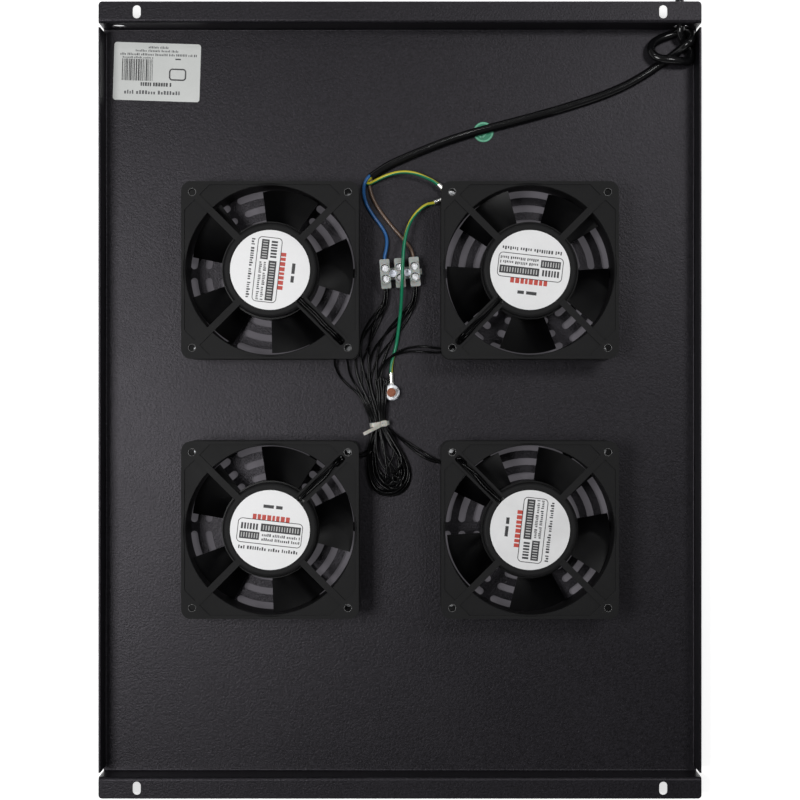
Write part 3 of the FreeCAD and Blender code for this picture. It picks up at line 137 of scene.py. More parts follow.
def route_line(points, step):
    """Evenly spaced line along the spline of these control points in millimetres."""
    return evenly(spline_line(np.array(points) * MM), step)


def carried_frames(line):
    """Two directions square to the line at each point, carried along it without turning about it.

    Each step reflects the last pair in the plane halfway to the next point and then in the plane
    that brings the reflected tangent onto the next one (the double reflection method).
    """
    tangent = np.gradient(line, axis=0)
    tangent /= np.linalg.norm(tangent, axis=1)[:, None]
    start = np.cross(tangent[0], [0.0, 0.0, 1.0])
    if np.linalg.norm(start) < 0.1:
        start = np.cross(tangent[0], [0.0, 1.0, 0.0])
    normals = [start / np.linalg.norm(start)]
    for a, b, here, there in zip(line[:-1], line[1:], tangent[:-1], tangent[1:]):
        across = b - a
        reflected = normals[-1] - 2 * across * (across @ normals[-1]) / (across @ across)
        turned = here - 2 * across * (across @ here) / (across @ across)
        rest = there - turned
        size = rest @ rest
        if size > 1e-18:
            reflected = reflected - 2 * rest * (rest @ reflected) / size
        normals.append(reflected / np.linalg.norm(reflected))
    normals = np.array(normals)
    return normals, np.cross(tangent, normals)


def tube(line, radius, sides):
    """Round tube: a circle of the radius square to the line at each of its points, its ends flat.

    Vertex (i, k) is line[i] + radius (cos(2 pi k / sides) normal + sin(2 pi k / sides) binormal).
    """
    normal, binormal = carried_frames(line)
    angle = 2 * np.pi * np.arange(sides)[None, :, None] / sides
    ring = np.cos(angle) * normal[:, None, :] + np.sin(angle) * binormal[:, None, :]
    return loft(line[:, None, :] + radius * ring, unit=1)


def joined(parts):
    """Several (vertices, faces) pairs as one."""
    vertices, faces, base = [], [], 0
    for v, f in parts:
        vertices.append(v)
        faces += [[base + x for x in face] for face in f]
        base += len(v)
    return np.concatenate(vertices), faces


def strands(points, count, radius, spread, turns, phase):
    """Lines of the strands of a bundle, wound loosely round its spline.

    Strand k lies off the middle by a cos(p) sideways and b sin(p) upwards, where p grows evenly
    along the bundle from 2 pi k / count, b just keeps the strands apart, and a grows from b by
    the spread towards the middle of the bundle's length as the square of a sine.
    """
    line, along = route_line(points, STRAND_STEP)
    normal, binormal = carried_frames(line)
    share = along / along[-1]
    packed = LOOSE * radius / math.sin(math.pi / count)
    wide = packed + spread * np.sin(np.pi * share) ** 2
    up = np.array([0.0, 0.0, 1.0])
    slope = np.gradient(line, axis=0)
    level = np.abs(slope[:, 2]) < 0.6 * np.linalg.norm(slope, axis=1)
    tangent = np.cross(normal, binormal)
    side = np.cross(tangent, up)
    size = np.linalg.norm(side, axis=1)[:, None]
    blend = smooth_share(size, 0.25, 0.7)
    way = np.sign((normal * side).sum(1) + 1e-12)[:, None]
    side = blend * side / np.maximum(size, 1e-9) + (1 - blend) * normal * way
    side /= np.linalg.norm(side, axis=1)[:, None]
    rise = np.cross(side, tangent)
    wide = np.where(level, wide, np.minimum(wide, packed * 1.2))
    lines = []
    for k in range(count):
        angle = 2 * np.pi * (k / count + turns * share) + phase
        off = (wide * np.cos(angle))[:, None] * side + (packed * np.sin(angle))[:, None] * rise
        lines.append(line + off)
    return lines


def smooth_share(value, low, high):
    """Rise from 0 to 1 between low and high, without corners: t squared times (3 - 2 t)."""
    t = np.clip((value - low) / (high - low), 0, 1)
    return t * t * (3 - 2 * t)


def at_height(flat, z):
    """Points (x, y) as a ring at a height."""
    return np.column_stack([flat, np.full(len(flat), z)])


def plates(rectangles, thickness):
    """Closed flat plates, each (x, y, width, length, turn, z of its underside), in millimetres."""
    corner = np.array([[-1, -1], [1, -1], [1, 1], [-1, 1]]) / 2
    parts = []
    for x, y, width, length, turn, z in rectangles:
        flat = turned_about(corner * [width, length], turn, (x, y))
        parts.append(loft([at_height(flat, z), at_height(flat, z + thickness)]))
    return joined(parts)


def blocks(rng, x, y, width, height, wide=0.42, gap=0.28, low=0.72, group=9):
    """Row of small plain blocks in uneven groups, each (x, y, width, height), filling a width."""
    made, at, left = [], 0.0, int(rng.integers(3, group))
    while at < width:
        size = height * wide * rng.uniform(0.75, 1.25)
        tall = height * rng.choice([low, 1.0])
        made.append((at + size / 2, (tall - height) / 2, size, tall))
        left -= 1
        end = at + size
        at = end + height * (gap if left else 2.6 * gap)
        left = left or int(rng.integers(3, group))
    scale = width / end
    return [(x - width / 2 + a * scale, y + b, w * scale, t) for a, b, w, t in made]


def printed(rows, turn, middle, z):
    """Plates of ink for rows of (x, y, width, height), turned and moved to a label."""
    places = turned_about([row[:2] for row in rows], turn, middle)
    return plates([(*at, row[2], row[3], turn, z) for at, row in zip(places, rows)], INK)


def outline(centre, width, height, corner, line, turn, z):
    """Printed line round a rectangle with rounded corners, turned and moved, in millimetres."""
    outside = (width, height, corner)
    inside = (width - 2 * line, height - 2 * line, corner - line)
    ends = ((outside, z), (outside, z + INK), (inside, z + INK), (inside, z))
    return loft([rounded(*size, level, turn, centre, 9) for size, level in ends], closed=True)


def loft(rings, closed=False, unit=MM):
    """Skin over rings of equally many points, capped at both ends or closed on itself."""
    count, n = len(rings), len(rings[0])
    i, k = np.meshgrid(np.arange(count if closed else count - 1), np.arange(n), indexing="ij")
    a, b = (i + 1) % count, (k + 1) % n
    faces = np.stack([i * n + k, i * n + b, a * n + b, a * n + k], axis=-1).reshape(-1, 4).tolist()
    if not closed:
        faces += [list(range(n))[::-1], [(count - 1) * n + x for x in range(n)]]
    return np.concatenate(rings) * unit, faces


def rounded(width, length, corner, z, turn=0.0, centre=(0, 0), steps=5):
    """Ring of points round a rectangle with rounded corners at a height."""
    quarter = np.linspace(0, np.pi / 2, steps)
    hub = np.array([width / 2 - corner, length / 2 - corner])
    parts = []
    for k, signs in enumerate(((1, 1), (-1, 1), (-1, -1), (1, -1))):
        angle = quarter + k * np.pi / 2
        parts.append(hub * signs + corner * np.column_stack([np.cos(angle), np.sin(angle)]))
    return at_height(turned_about(np.concatenate(parts), turn, centre), z)


def strap(line, across, width, thick, closed=False):
    """Flat strap along a line in millimetres, with its width across and its thickness off it.

    Corner points are line[i] + (+-width[i] / 2) across, and the same + thick[i] times the normal,
    the cross product of the across direction and the tangent.
    """
    line = np.asarray(line, float)
    if closed:
        tangent = np.roll(line, -1, axis=0) - np.roll(line, 1, axis=0)
    else:
        tangent = np.gradient(line, axis=0)
    tangent /= np.linalg.norm(tangent, axis=1)[:, None]
    normal = np.cross(across, tangent)
    normal /= np.linalg.norm(normal, axis=1)[:, None]
    half = np.broadcast_to(np.divide(width, 2), len(line))[:, None] * across
    off = np.broadcast_to(thick, len(line))[:, None] * normal
    corners = (line + half, line - half, line - half + off, line + half + off)
    return loft(np.stack(corners, axis=1), closed)


def lathe(profile, sides, centre=(0, 0, 0)):
    """Closed ring: a closed profile of (radius, height) points turned about an upright axis."""
    radius, height = np.array(profile, float).T
    angle = 2 * np.pi * np.arange(sides)[:, None] / sides
    level = np.broadcast_to(height, (sides, len(height)))
    rings = np.stack([radius * np.cos(angle), radius * np.sin(angle), level], axis=-1) + centre
    vertices, faces = loft(rings, closed=True)
    return vertices, [face[::-1] for face in faces]


def turned_about(points, degrees, centre):
    """Points (x, y) turned about the origin and moved to the centre."""
    c, s = math.cos(math.radians(degrees)), math.sin(math.radians(degrees))
    return np.asarray(points, float) @ np.array([[c, s], [-s, c]]) + centre


# --- Finishes --------------------


def feed(socket, value):
    """Link a shader socket to another, or set its value."""
    if isinstance(value, bpy.types.NodeSocket):
        socket.id_data.links.new(value, socket)
    else:
        socket.default_value = value


def fed(node, **values):
    """The node, with inputs linked to sockets or set to values."""
    for name, value in values.items():
        feed(node.inputs[name.replace("_", " ")], value)
    return node


def new_node(tree, kind, **values):
    """Shader node of a kind with these inputs."""
    return fed(tree.nodes.new(f"ShaderNode{kind}"), **values)


def new_material(name):
    """Material and its Principled shader."""
    material = bpy.data.materials.new(name)
    material.use_nodes = True
    return material, material.node_tree.nodes["Principled BSDF"]


def grain_group():
    """Node group: fine grain and broad patches, as values that change over the surface."""
    if "Grain and patches" in bpy.data.node_groups:
        return bpy.data.node_groups["Grain and patches"]
    group = bpy.data.node_groups.new("Grain and patches", "ShaderNodeTree")
    face = group.interface
    face.new_socket("Vector", in_out="INPUT", socket_type="NodeSocketVector")
    for name, usual in (("Grain Scale", 900), ("Patch Scale", 12)):
        socket = face.new_socket(name, in_out="INPUT", socket_type="NodeSocketFloat")
        socket.default_value = usual
    for name in ("Grain", "Patches"):
        face.new_socket(name, in_out="OUTPUT", socket_type="NodeSocketFloat")
    source, sink = group.nodes.new("NodeGroupInput"), group.nodes.new("NodeGroupOutput")
    noises = (("Grain Scale", "Grain", 3, 0.6), ("Patch Scale", "Patches", 5, 0.65))
    for scale, out, detail, rough in noises:
        noise = new_node(group, "TexNoise", Detail=detail, Roughness=rough)
        fed(noise, Vector=source.outputs["Vector"], Scale=source.outputs[scale])
        feed(sink.inputs[out], noise.outputs["Fac"])
    return group


def ranged(value, low, high, start=0.3, end=0.7):
    """Map Range node from a value's usual span to a span that is wanted."""
    span = {"From_Min": start, "From_Max": end, "To_Min": low, "To_Max": high}
    return new_node(value.id_data, "MapRange", Value=value, **span).outputs["Result"]


def reckoned(operation, *values):
    """Math node of an operation on sockets and numbers, the first of them a socket."""
    node = values[0].id_data.nodes.new("ShaderNodeMath")
    node.operation = operation
    for socket, value in zip(node.inputs, values):
        feed(socket, value)
    return node.outputs["Value"]


def shades(factor, dark, light):
    """Mix by a value of two colours, of which the first may be a socket."""
    mix = factor.id_data.nodes.new("ShaderNodeMix")
    mix.data_type = "RGBA"
    first = dark if isinstance(dark, bpy.types.NodeSocket) else (*dark, 1)
    return fed(mix, Factor=factor, A=first, B=(*light, 1)).outputs["Result"]


def overlay(shader, mask, colour):
    """Lay a colour over a finish where a value is 1."""
    base = shader.inputs["Base Color"]
    feed(base, shades(mask, base.links[0].from_socket, colour))


def specks(shader, place):
    """Rare pale specks of dust on a finish."""
    fed(shader, Specular_Tint=(0.96, 0.91, 1.0, 1))
    cells = new_node(shader.id_data, "TexVoronoi", Vector=place.outputs["Object"], Scale=260)
    overlay(shader, ranged(cells.outputs["Distance"], 1, 0, 0.03, 0.09), (0.05, 0.05, 0.052))


def stripe(shader, place):
    """Yellow stripe along one side of a wire, by the wire's own UV map."""
    parts = new_node(shader.id_data, "SeparateXYZ", Vector=place.outputs["UV"])
    off = reckoned("PINGPONG", parts.outputs["X"], 0.5)
    overlay(shader, ranged(off, 1, 0, 0.15, 0.165), (0.56, 0.5, 0.03))


METAL = {"metallic": 1.0}
# Each finish: its dark and light colour, the span of its roughness, the scales of its grain and
# patches, the depth of its grain in millimetres, and what sets it apart: metallic, specular, the
# share of grain in its colour (mottle), milkiness as (weight, scale in millimetres), an extra.
FINISHES = {
    # Fine textured black powder coat of the tray, with faint dust in broad patches.
    "powder_coat": (
        (0.0003, 0.0003, 0.0006), (0.0138, 0.0131, 0.0162), (0.34, 0.4), 740, 9, 0.17,
        {"specular": 0.255, "mottle": 0.95, "extra": specks},
    ),
    # Satin black paint on the die-cast fan frames.
    "cast_coat": (
        (0.0045, 0.0045, 0.0048), (0.0095, 0.0095, 0.01), (0.5, 0.62), 1300, 26, 0.06,
        {"specular": 0.15, "mottle": 0.4},
    ),
    # Moulded black plastic of the impellers.
    "blade_plastic": (
        (0.0012, 0.0012, 0.0014), (0.0028, 0.0028, 0.0032), (0.32, 0.42), 700, 30, 0.012,
        {"specular": 0.2},
    ),
    # Zinc-plated steel, and brighter zinc on the strip's mounting screws and the stud's washer.
    "plated_steel": ((0.46, 0.47, 0.48), (0.74, 0.75, 0.77), (0.24, 0.44), 2500, 420, 0.02, METAL),
    "bright_zinc": ((0.5, 0.53, 0.6), (0.72, 0.74, 0.8), (0.34, 0.5), 2500, 500, 0.015, METAL),
    # Oiled steel of the motor.
    "motor_steel": ((0.2, 0.2, 0.2), (0.34, 0.34, 0.34), (0.35, 0.55), 1800, 120, 0.01, METAL),
    # Tin-plated copper of the ring terminals, and the copper-flashed earth stud.
    "tinned_copper": (
        (0.66, 0.65, 0.62), (0.82, 0.81, 0.78), (0.2, 0.36), 1800, 260, 0.012, METAL
    ),
    "copper_flash": (
        (0.1, 0.038, 0.025), (0.26, 0.105, 0.062), (0.34, 0.5), 2200, 420, 0.012, METAL
    ),
    "plain_brass": ((0.6, 0.42, 0.16), (0.76, 0.56, 0.26), (0.24, 0.4), 2000, 260, 0.01, METAL),
    # Sintered bronze of the bearings.
    "sintered_bronze": (
        (0.38, 0.24, 0.1), (0.52, 0.34, 0.16), (0.45, 0.6), 5000, 400, 0.02, METAL
    ),
    # Films of the fan labels, of the large label and of the round one.
    "silver_film": (
        (0.7, 0.7, 0.705), (0.81, 0.81, 0.815), (0.36, 0.5), 1200, 30, 0.006, {"metallic": 0.15}
    ),
    "white_film": ((0.6, 0.615, 0.6), (0.7, 0.715, 0.7), (0.4, 0.52), 900, 20, 0.006, {}),
    "green_film": ((0.006, 0.17, 0.085), (0.014, 0.27, 0.14), (0.3, 0.42), 900, 160, 0.004, {}),
    # Milky moulding of the terminal strip, and natural nylon of the cable tie.
    "strip_plastic": (
        (0.29, 0.31, 0.295), (0.41, 0.43, 0.41), (0.26, 0.38), 600, 90, 0.008, {"milky": (0.25, 2)}
    ),
    "tie_nylon": (
        (0.44, 0.43, 0.38), (0.56, 0.55, 0.5), (0.3, 0.42), 700, 120, 0.006, {"milky": (0.2, 1.5)}
    ),
    # Glossy black sheath of the power cord, and black insulation of the fan leads.
    "cord_pvc": (
        (0.003, 0.003, 0.0034), (0.0055, 0.0055, 0.006), (0.1, 0.18), 420, 30, 0.006,
        {"specular": 0.34},
    ),
    "lead_pvc": (
        (0.001, 0.001, 0.0012), (0.0025, 0.0025, 0.0028), (0.14, 0.24), 900, 120, 0.006,
        {"specular": 0.16},
    ),
    "blue_pvc": ((0.012, 0.085, 0.26), (0.022, 0.13, 0.36), (0.26, 0.38), 900, 120, 0.006, {}),
    "brown_pvc": ((0.1, 0.058, 0.036), (0.15, 0.09, 0.058), (0.26, 0.38), 900, 120, 0.006, {}),
    # Green insulation of the earth wires, with a yellow stripe.
    "earth_pvc": (
        (0.004, 0.16, 0.075), (0.006, 0.24, 0.115), (0.26, 0.36), 8, 2, 0.004,
        {"by_uv": True, "extra": stripe},
    ),
    # Black moulded plug.
    "plug_moulding": (
        (0.009, 0.009, 0.0095), (0.017, 0.017, 0.018), (0.42, 0.56), 1600, 30, 0.02,
        {"specular": 0.45},
    ),
}
INKS = {
    "fan_label_print": (0.012, 0.012, 0.014),
    "fan_label_pale": (0.4, 0.4, 0.4),
    "fan_label_bar": (0.42, 0.035, 0.02),
    "rating_label_print": (0.06, 0.06, 0.065),
    "rating_label_bold": (0.02, 0.02, 0.022),
    "sticker": (0.1, 0.34, 0.22),
}
# Printed ink is a little thinner in places.
FINISHES |= {
    f"{name}_ink": (
        colour, [min(c * 1.5 + 0.01, 1) for c in colour], (0.4, 0.55), 2500, 500, 0.002, {}
    )
    for name, colour in INKS.items()
}


def finish(name):
    """Finish from the table, made when it is first asked for."""
    made = bpy.data.materials.get(f"{name}_finish")
    if made:
        return made
    *values, apart = FINISHES[name]
    return grained(f"{name}_finish", *values, **apart)


def grained(
    name, dark, light, rough, grain, patch, depth,
    metallic=0.0, specular=0.5, mottle=0.2, milky=None, by_uv=False, extra=None,
):
    """Material whose colour, roughness and fine bump vary with the grain and patches."""
    material, shader = new_material(name)
    tree = material.node_tree
    place = new_node(tree, "TexCoord")
    group = tree.nodes.new("ShaderNodeGroup")
    group.node_tree = grain_group()
    vector = place.outputs["UV" if by_uv else "Object"]
    fed(group, Grain_Scale=grain, Patch_Scale=patch, Vector=vector)
    patches, fine = group.outputs["Patches"], group.outputs["Grain"]
    spotted = new_node(tree, "Mix", Factor=mottle, A=ranged(patches, 0, 1), B=ranged(fine, 0, 1))
    bump = new_node(tree, "Bump", Strength=1.0, Distance=depth * MM, Height=fine)
    fed(
        shader,
        Metallic=metallic,
        Specular_IOR_Level=specular,
        Base_Color=shades(spotted.outputs["Result"], dark, light),
        Roughness=ranged(patches, *rough),
        Normal=bump.outputs["Normal"],
    )
    if milky:
        fed(shader, Subsurface_Weight=milky[0], Subsurface_Scale=milky[1] * MM)
    if extra:
        extra(shader, place)
    return material


CAD_FINISHES = {
    "tray_panel": "powder_coat",
    "fan_labels": "silver_film",
    "terminal_body": "strip_plastic",
    "terminal_inserts": "plain_brass",
    "terminal_clamp_screws": "plated_steel",
    "terminal_mount_screws": "bright_zinc",
    "earth_stud": "copper_flash",
    "earth_nut": "plated_steel",
    "earth_washer": "bright_zinc",
    "stud_ring_terminal": "tinned_copper",
    "fan_ring_terminals": "tinned_copper",
    "fan_earth_nut": "plated_steel",
    "plug_body": "plug_moulding",
    "plug_pins": "plated_steel",
    "plug_earth_contacts": "plated_steel",
    "cable_tie": "tie_nylon",
    "rating_label": "white_film",
    "inspection_sticker": "green_film",
    "power_cord": "cord_pvc",
    "power_cord_coil": "cord_pvc",
    "lead_hank": "lead_pvc",
    "neutral_leads": "lead_pvc",
    "live_leads": "lead_pvc",
    "blue_wire": "blue_pvc",
    "brown_wire": "brown_pvc",
    "earth_wire_in": "earth_pvc",
    "earth_wire_link": "earth_pvc",
}
FAN_FINISHES = {
    "frame": "cast_coat",
    "impeller": "blade_plastic",
    "rotor_ring": "motor_steel",
    "shaft": "plated_steel",
    "bearings": "sintered_bronze",
    "stator": "motor_steel",
    "screws": "plated_steel",
    "leads": "lead_pvc",
}


# --- Wiring --------------------


WALL = 256.5  # where the cord leaves the tray's back wall, in millimetres
# Control points of the power cord in the tray, through its knot and out, and from coil to plug.
CORD_MAIN = [
    (-19.7, 153.9, 6.6), (-10.1, 161, 6.6), (1.6, 166.4, 6.6), (17.5, 173, 6.6),
    (36, 180.2, 6.6), (55.5, 186, 6.7), (74, 190.8, 6.6), (95, 196.4, 6.6),
    (116, 202.4, 6.6), (137, 209.2, 6.6), (154, 216, 6.6), (168, 223.8, 6.6),
    (178.6, 231, 6.5), (186.6, 236.4, 6.9), (191.8, 240.2, 11.4), (196, 243.2, 16.2),
    (200.5, 246.9, 16.8), (200.3, 251.8, 12.4), (196.2, 253.7, 7.6), (189, 252.7, 6.4),
    (180, 249.8, 7), (173.6, 245.6, 9), (172.2, 239.2, 11.6), (177.2, 234.4, 13.4),
    (185.4, 233.6, 14), (193.2, 232.8, 12.6), (199.2, 232.8, 10.4), (200.9, 237.6, 8.8),
    (199.8, 242.4, 7.9), (195.8, 246, 8.9), (193, 249.4, 12.3), (192.4, 253.6, 14.2),
    (193, WALL + 3, 14.4), (193, WALL + 11, 12.2), (192.6, WALL + 20, 8.2),
    (192.2, WALL + 33, 4.4), (192.8, WALL + 46, 3.1), (193, WALL + 56, 3.1),
]
CORD_TAIL = [
    (138, 367, 8.4), (126, 366.8, 6), (112, 365.8, 3.8), (99, 363.6, 4.4),
    (86, 361.4, 8.2), (73.6, 364.5, 18.5), (61.7, 363.3, 18.5),
]


def coil_points():
    """Control points of the coil: three turns inwards on the floor and three outwards on them.

    A point stands at every step, its radius over the cosine of half that, so that the spline
    keeps the radius. The turn moves in or out by a diameter where the next turn needs its place.
    """
    degrees = COIL_STEP / 2 + COIL_STEP * np.arange(84)
    moves = (300, 350, 660, 710, 1215, 1265, 1575, 1625)
    radius = np.interp(degrees, moves, (41, 35, 35, 29, 29, 35, 35, 41))
    radius /= math.cos(math.radians(COIL_STEP / 2))
    height = np.interp(degrees, (970, 1020), (3, 9))
    angle = np.radians(degrees)
    flat = radius[:, None] * np.column_stack([np.cos(angle), np.sin(angle)]) + COIL_MIDDLE
    return np.column_stack([flat, height])


CORE_ROUTES = {
    "blue_wire": [
        (-20.5, 154.9, 7.2), (-22.9, 152.7, 8.6), (-24.7, 148.6, 8.3), (-25.2, 142.5, 6.4),
        (-23.4, 135.5, 4.9), (-19.2, 128.2, 4.8), (-14, 121.6, 4.7), (-10, 115.3, 5.2),
        (-8.8, 109.2, 6.6), (-9.6, 103.2, 8), (-11, 98.1, 8.4), (-10.5, 92.1, 8.4),
    ],
    "brown_wire": [
        (-19, 152.9, 5.7), (-20.5, 151.3, 4.9), (-21.1, 148, 4.6), (-20.3, 143.6, 4.6),
        (-18.2, 137.9, 4.7), (-14.6, 131.7, 4.9), (-9.4, 124.6, 5), (-3.4, 117.4, 5.2),
        (2.4, 110.9, 6.2), (6.8, 105.6, 7.8), (9.2, 99.7, 8.4), (9.6, 93.7, 8.4),
    ],
    "earth_wire_in": [
        (-19.7, 153.9, 6.2), (-22, 152.2, 5.9), (-23.4, 150.4, 6.2), (-22, 148.9, 7.2),
        (-19, 149.8, 8.9), (-14.2, 152.2, 11.2), (-7.6, 154.9, 13.2), (1, 156.8, 14),
        (10, 156, 13.5), (17.6, 153.2, 12), (24.5, 150.1, 9.8), (28.5, 146.3, 9.8),
    ],
    "earth_wire_link": [
        (26.5, 136.8, 10.7), (22.2, 135.2, 10.7), (18.2, 134.6, 11.6), (12.6, 130.2, 13),
        (7.6, 123.6, 15.2), (4.4, 115.4, 17.6), (2.6, 105.6, 19.4), (1.9, 94, 20.2),
        (1.5, 83, 19.9), (1.2, 73.6, 17), (0.8, 65.2, 12.4), (-0.2, 55.3, 9.6),
        (-1.5, 45, 7), (-3, 35.4, 4.8), (-6.4, 24.8, 5.3), (-6.2, 15.8, 5.3),
    ],
}
# Where the yellow stripe lies on an earth wire: (share of length, degrees from up to the right).
STRIPES = {
    "earth_wire_in": [(0, -20), (0.2, -40), (0.62, -48), (0.85, -85), (1, -100)],
    "earth_wire_link": [
        (0, 0), (0.07, 35), (0.2, 78), (0.31, 130), (0.4, 180), (0.8, 200), (0.97, 280), (1, 285),
    ],
}
# Bundles of four leads from the strip to the tie, and fans' pairs from below the frame to the tie.
BUNDLE_ROUTES = {
    "neutral_leads": [
        (-9.5, 79.1, 8.4), (-9.1, 74.1, 8.4), (-10.6, 65.4, 7.4), (-14.8, 58.6, 5.6),
        (-20, 49.6, 5.3), (-23.8, 40.2, 5.2), (-26, 30.4, 5.2), (-26.4, 19.6, 5.2),
        (-24, 8.6, 5.2), (-21.2, -0.6, 5.4), (-19, -7, 6.2), (-17.4, -12.5, 7.2),
        (-16.9, -17, 7.6),
    ],
    "live_leads": [
        (10.7, 80.7, 8.4), (11, 75.7, 8.4), (9.4, 67, 7.2), (6, 61.6, 5.5), (1, 54.4, 5.2),
        (-6.4, 45.4, 5.2), (-12.6, 36.4, 5.2), (-16.6, 26, 5.2), (-18.4, 15, 5.2),
        (-18, 4.4, 5.4), (-15.9, -5, 6.2), (-14, -12.5, 7.2), (-13.6, -17, 7.6),
    ],
}
PAIR_ROUTES = {
    2: [
        (36.6, 36.6, 18.2), (32.6, 34.6, 16), (27.2, 33.8, 12.6), (20.6, 34.6, 8.6),
        (12.6, 35.4, 6.9), (4, 34.6, 7.2), (-4, 31.6, 7.8), (-9.8, 26.6, 7.8),
        (-13.6, 20.4, 8.2), (-15.2, 11, 8.4), (-15.4, 1, 8.6), (-14, -8, 9),
        (-13.6, -17, 9.4),
    ],
    3: [
        (-36.8, -37.8, 18), (-32.8, -38.4, 14.6), (-28.6, -38, 10.8), (-24, -37, 7.2),
        (-19.4, -34.4, 5), (-16.8, -29, 4.7), (-15.4, -22.6, 5.4), (-14.8, -17, 6.4),
    ],
    4: [
        (37, -41.6, 18), (32.4, -43, 14.2), (27.2, -43.2, 10.2), (21, -40.8, 6.8),
        (13.4, -36, 5), (5.6, -30.4, 4.9), (-0.2, -26, 5.8), (-4.8, -22.4, 7.2),
        (-8.6, -19.4, 8.2), (-11.4, -16.8, 8.6),
    ],
}
# Fan 1's two leads run apart below its frame.
PARTED_ROUTES = {
    1: (
        [
            (-40.5, 36.5, 17.6), (-43.4, 32, 14.6), (-45.4, 26.8, 10.4), (-43.8, 20, 6.2),
            (-40, 14.2, 4.9), (-35.3, 9.6, 4.8), (-29.7, 5.4, 4.8), (-25.6, -0.6, 4.9),
            (-22.9, -7.2, 6), (-20.6, -12.6, 7.2), (-20, -17, 7.6),
        ],
        [
            (-38.8, 35.8, 17.4), (-36.9, 31.6, 14.4), (-36.1, 26.8, 10.2), (-34.9, 18.1, 5.8),
            (-32.1, 12.6, 4.8), (-28.3, 6.4, 4.8), (-24.4, -0.4, 4.9), (-21.6, -7.2, 6),
            (-19.2, -12.6, 7.2), (-18.2, -17, 7.6),
        ],
    )
}
# A fan's lead channel, from its hub outwards and down through the flange: (reach, side, height).
CHANNEL_ROUTE = [
    (27.2, 0, 35.4), (34, 0, 35.3), (42, 0.5, 35.3), (52.5, -0.4, 35.3), (59.5, 0.2, 35.3),
    (63.5, 0, 35.1), (66.3, 0, 33.3), (66.9, 0, 29.7), (66.9, 0.4, 23.3),
]
# Folded leads: where the loops start, each loop's layer, length and width, the loose curls over
# them, and the tops of the tight folds above the tie.
HANK_START = (-14.6, -16.4)
HANK_LOOPS = [
    (0, 50.6, 19), (0, 47.4, 15.4), (0, 43.6, 11), (1, 49.2, 18.2), (1, 45.4, 13.6),
    (2, 50, 17), (2, 46.2, 12.2), (2, 40, 8.4), (3, 48.4, 16.2), (3, 42.6, 10.4),
]
HANK_CURLS = [
    [
        (-15, -16.4, 9.8), (-13.6, -26, 9.6), (-10.6, -37, 9.4), (-4, -47, 9.5),
        (1.6, -54, 9), (0.4, -60.4, 8.4), (-6.4, -61.6, 8.8), (-10.6, -55.6, 9.6),
        (-8.6, -46, 9.9), (-3.2, -37, 9.9), (-7.6, -26, 9.8), (-12.4, -16.4, 9.8),
    ],
    [
        (-13.4, -16.4, 9.9), (-9.6, -27, 9.9), (-3.4, -36, 9.8), (3.2, -44.6, 9),
        (4.6, -51, 8.4), (0.6, -54.6, 8.6), (-5.6, -51.6, 9.3), (-9.4, -42, 9.9),
        (-12, -30, 9.9), (-14.2, -16.4, 9.9),
    ],
    [
        (-16.4, -16.4, 8.6), (-17.4, -28, 9.2), (-17.2, -42, 9.4), (-14.4, -54, 9.2),
        (-8.8, -59.4, 9.4), (-4.2, -55.6, 9.8), (-6, -48, 10), (-10.8, -39, 10),
        (-13.2, -28, 9.9), (-14, -16.4, 9.4),
    ],
    [
        (-15.6, -16.4, 9.2), (-17.4, -31, 9.9), (-13.4, -45, 10.5), (-6.4, -51, 10.9),
        (1.2, -46.6, 10.8), (0.8, -37.6, 10.3), (-5.2, -28.6, 9.8), (-12, -16.4, 9.2),
    ],
    [
        (-14.6, -16.4, 8.4), (-10.6, -33, 10.6), (-9.6, -47, 11.2), (-5, -57, 10.2),
        (1.6, -56.6, 9.8), (4, -48.6, 10.2), (-0.8, -39.6, 10.6), (-7.6, -29.6, 10.2),
        (-13, -16.4, 8.8),
    ],
]
HANK_FOLDS = [(-16.1, 13.2), (-14, 14.7), (-11.9, 14.2), (-9.9, 12.9)]


def box_middle(node):
    """Middle of a CAD part's box, across and along, in millimetres."""
    low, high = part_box(node)
    return np.array([(low[0] + high[0]) / 2, (low[1] + high[1]) / 2]) / MM


def fan_middle(number):
    """Axis of a fan, across and along, in millimetres."""
    return box_middle(f"fan_{number}_shaft")


def pair_route(number, rest, aside=0.0):
    """A fan's leads from its hub to the tie, the first part in the channel, a little aside."""
    reach = np.array(CHANNEL_ROUTE)
    flat = turned_about(reach[:, :2] + [0, aside], FAN_TURNS[number] + 45, fan_middle(number))
    return np.vstack([np.column_stack([flat, reach[:, 2] + PLATE_TOP]), rest])


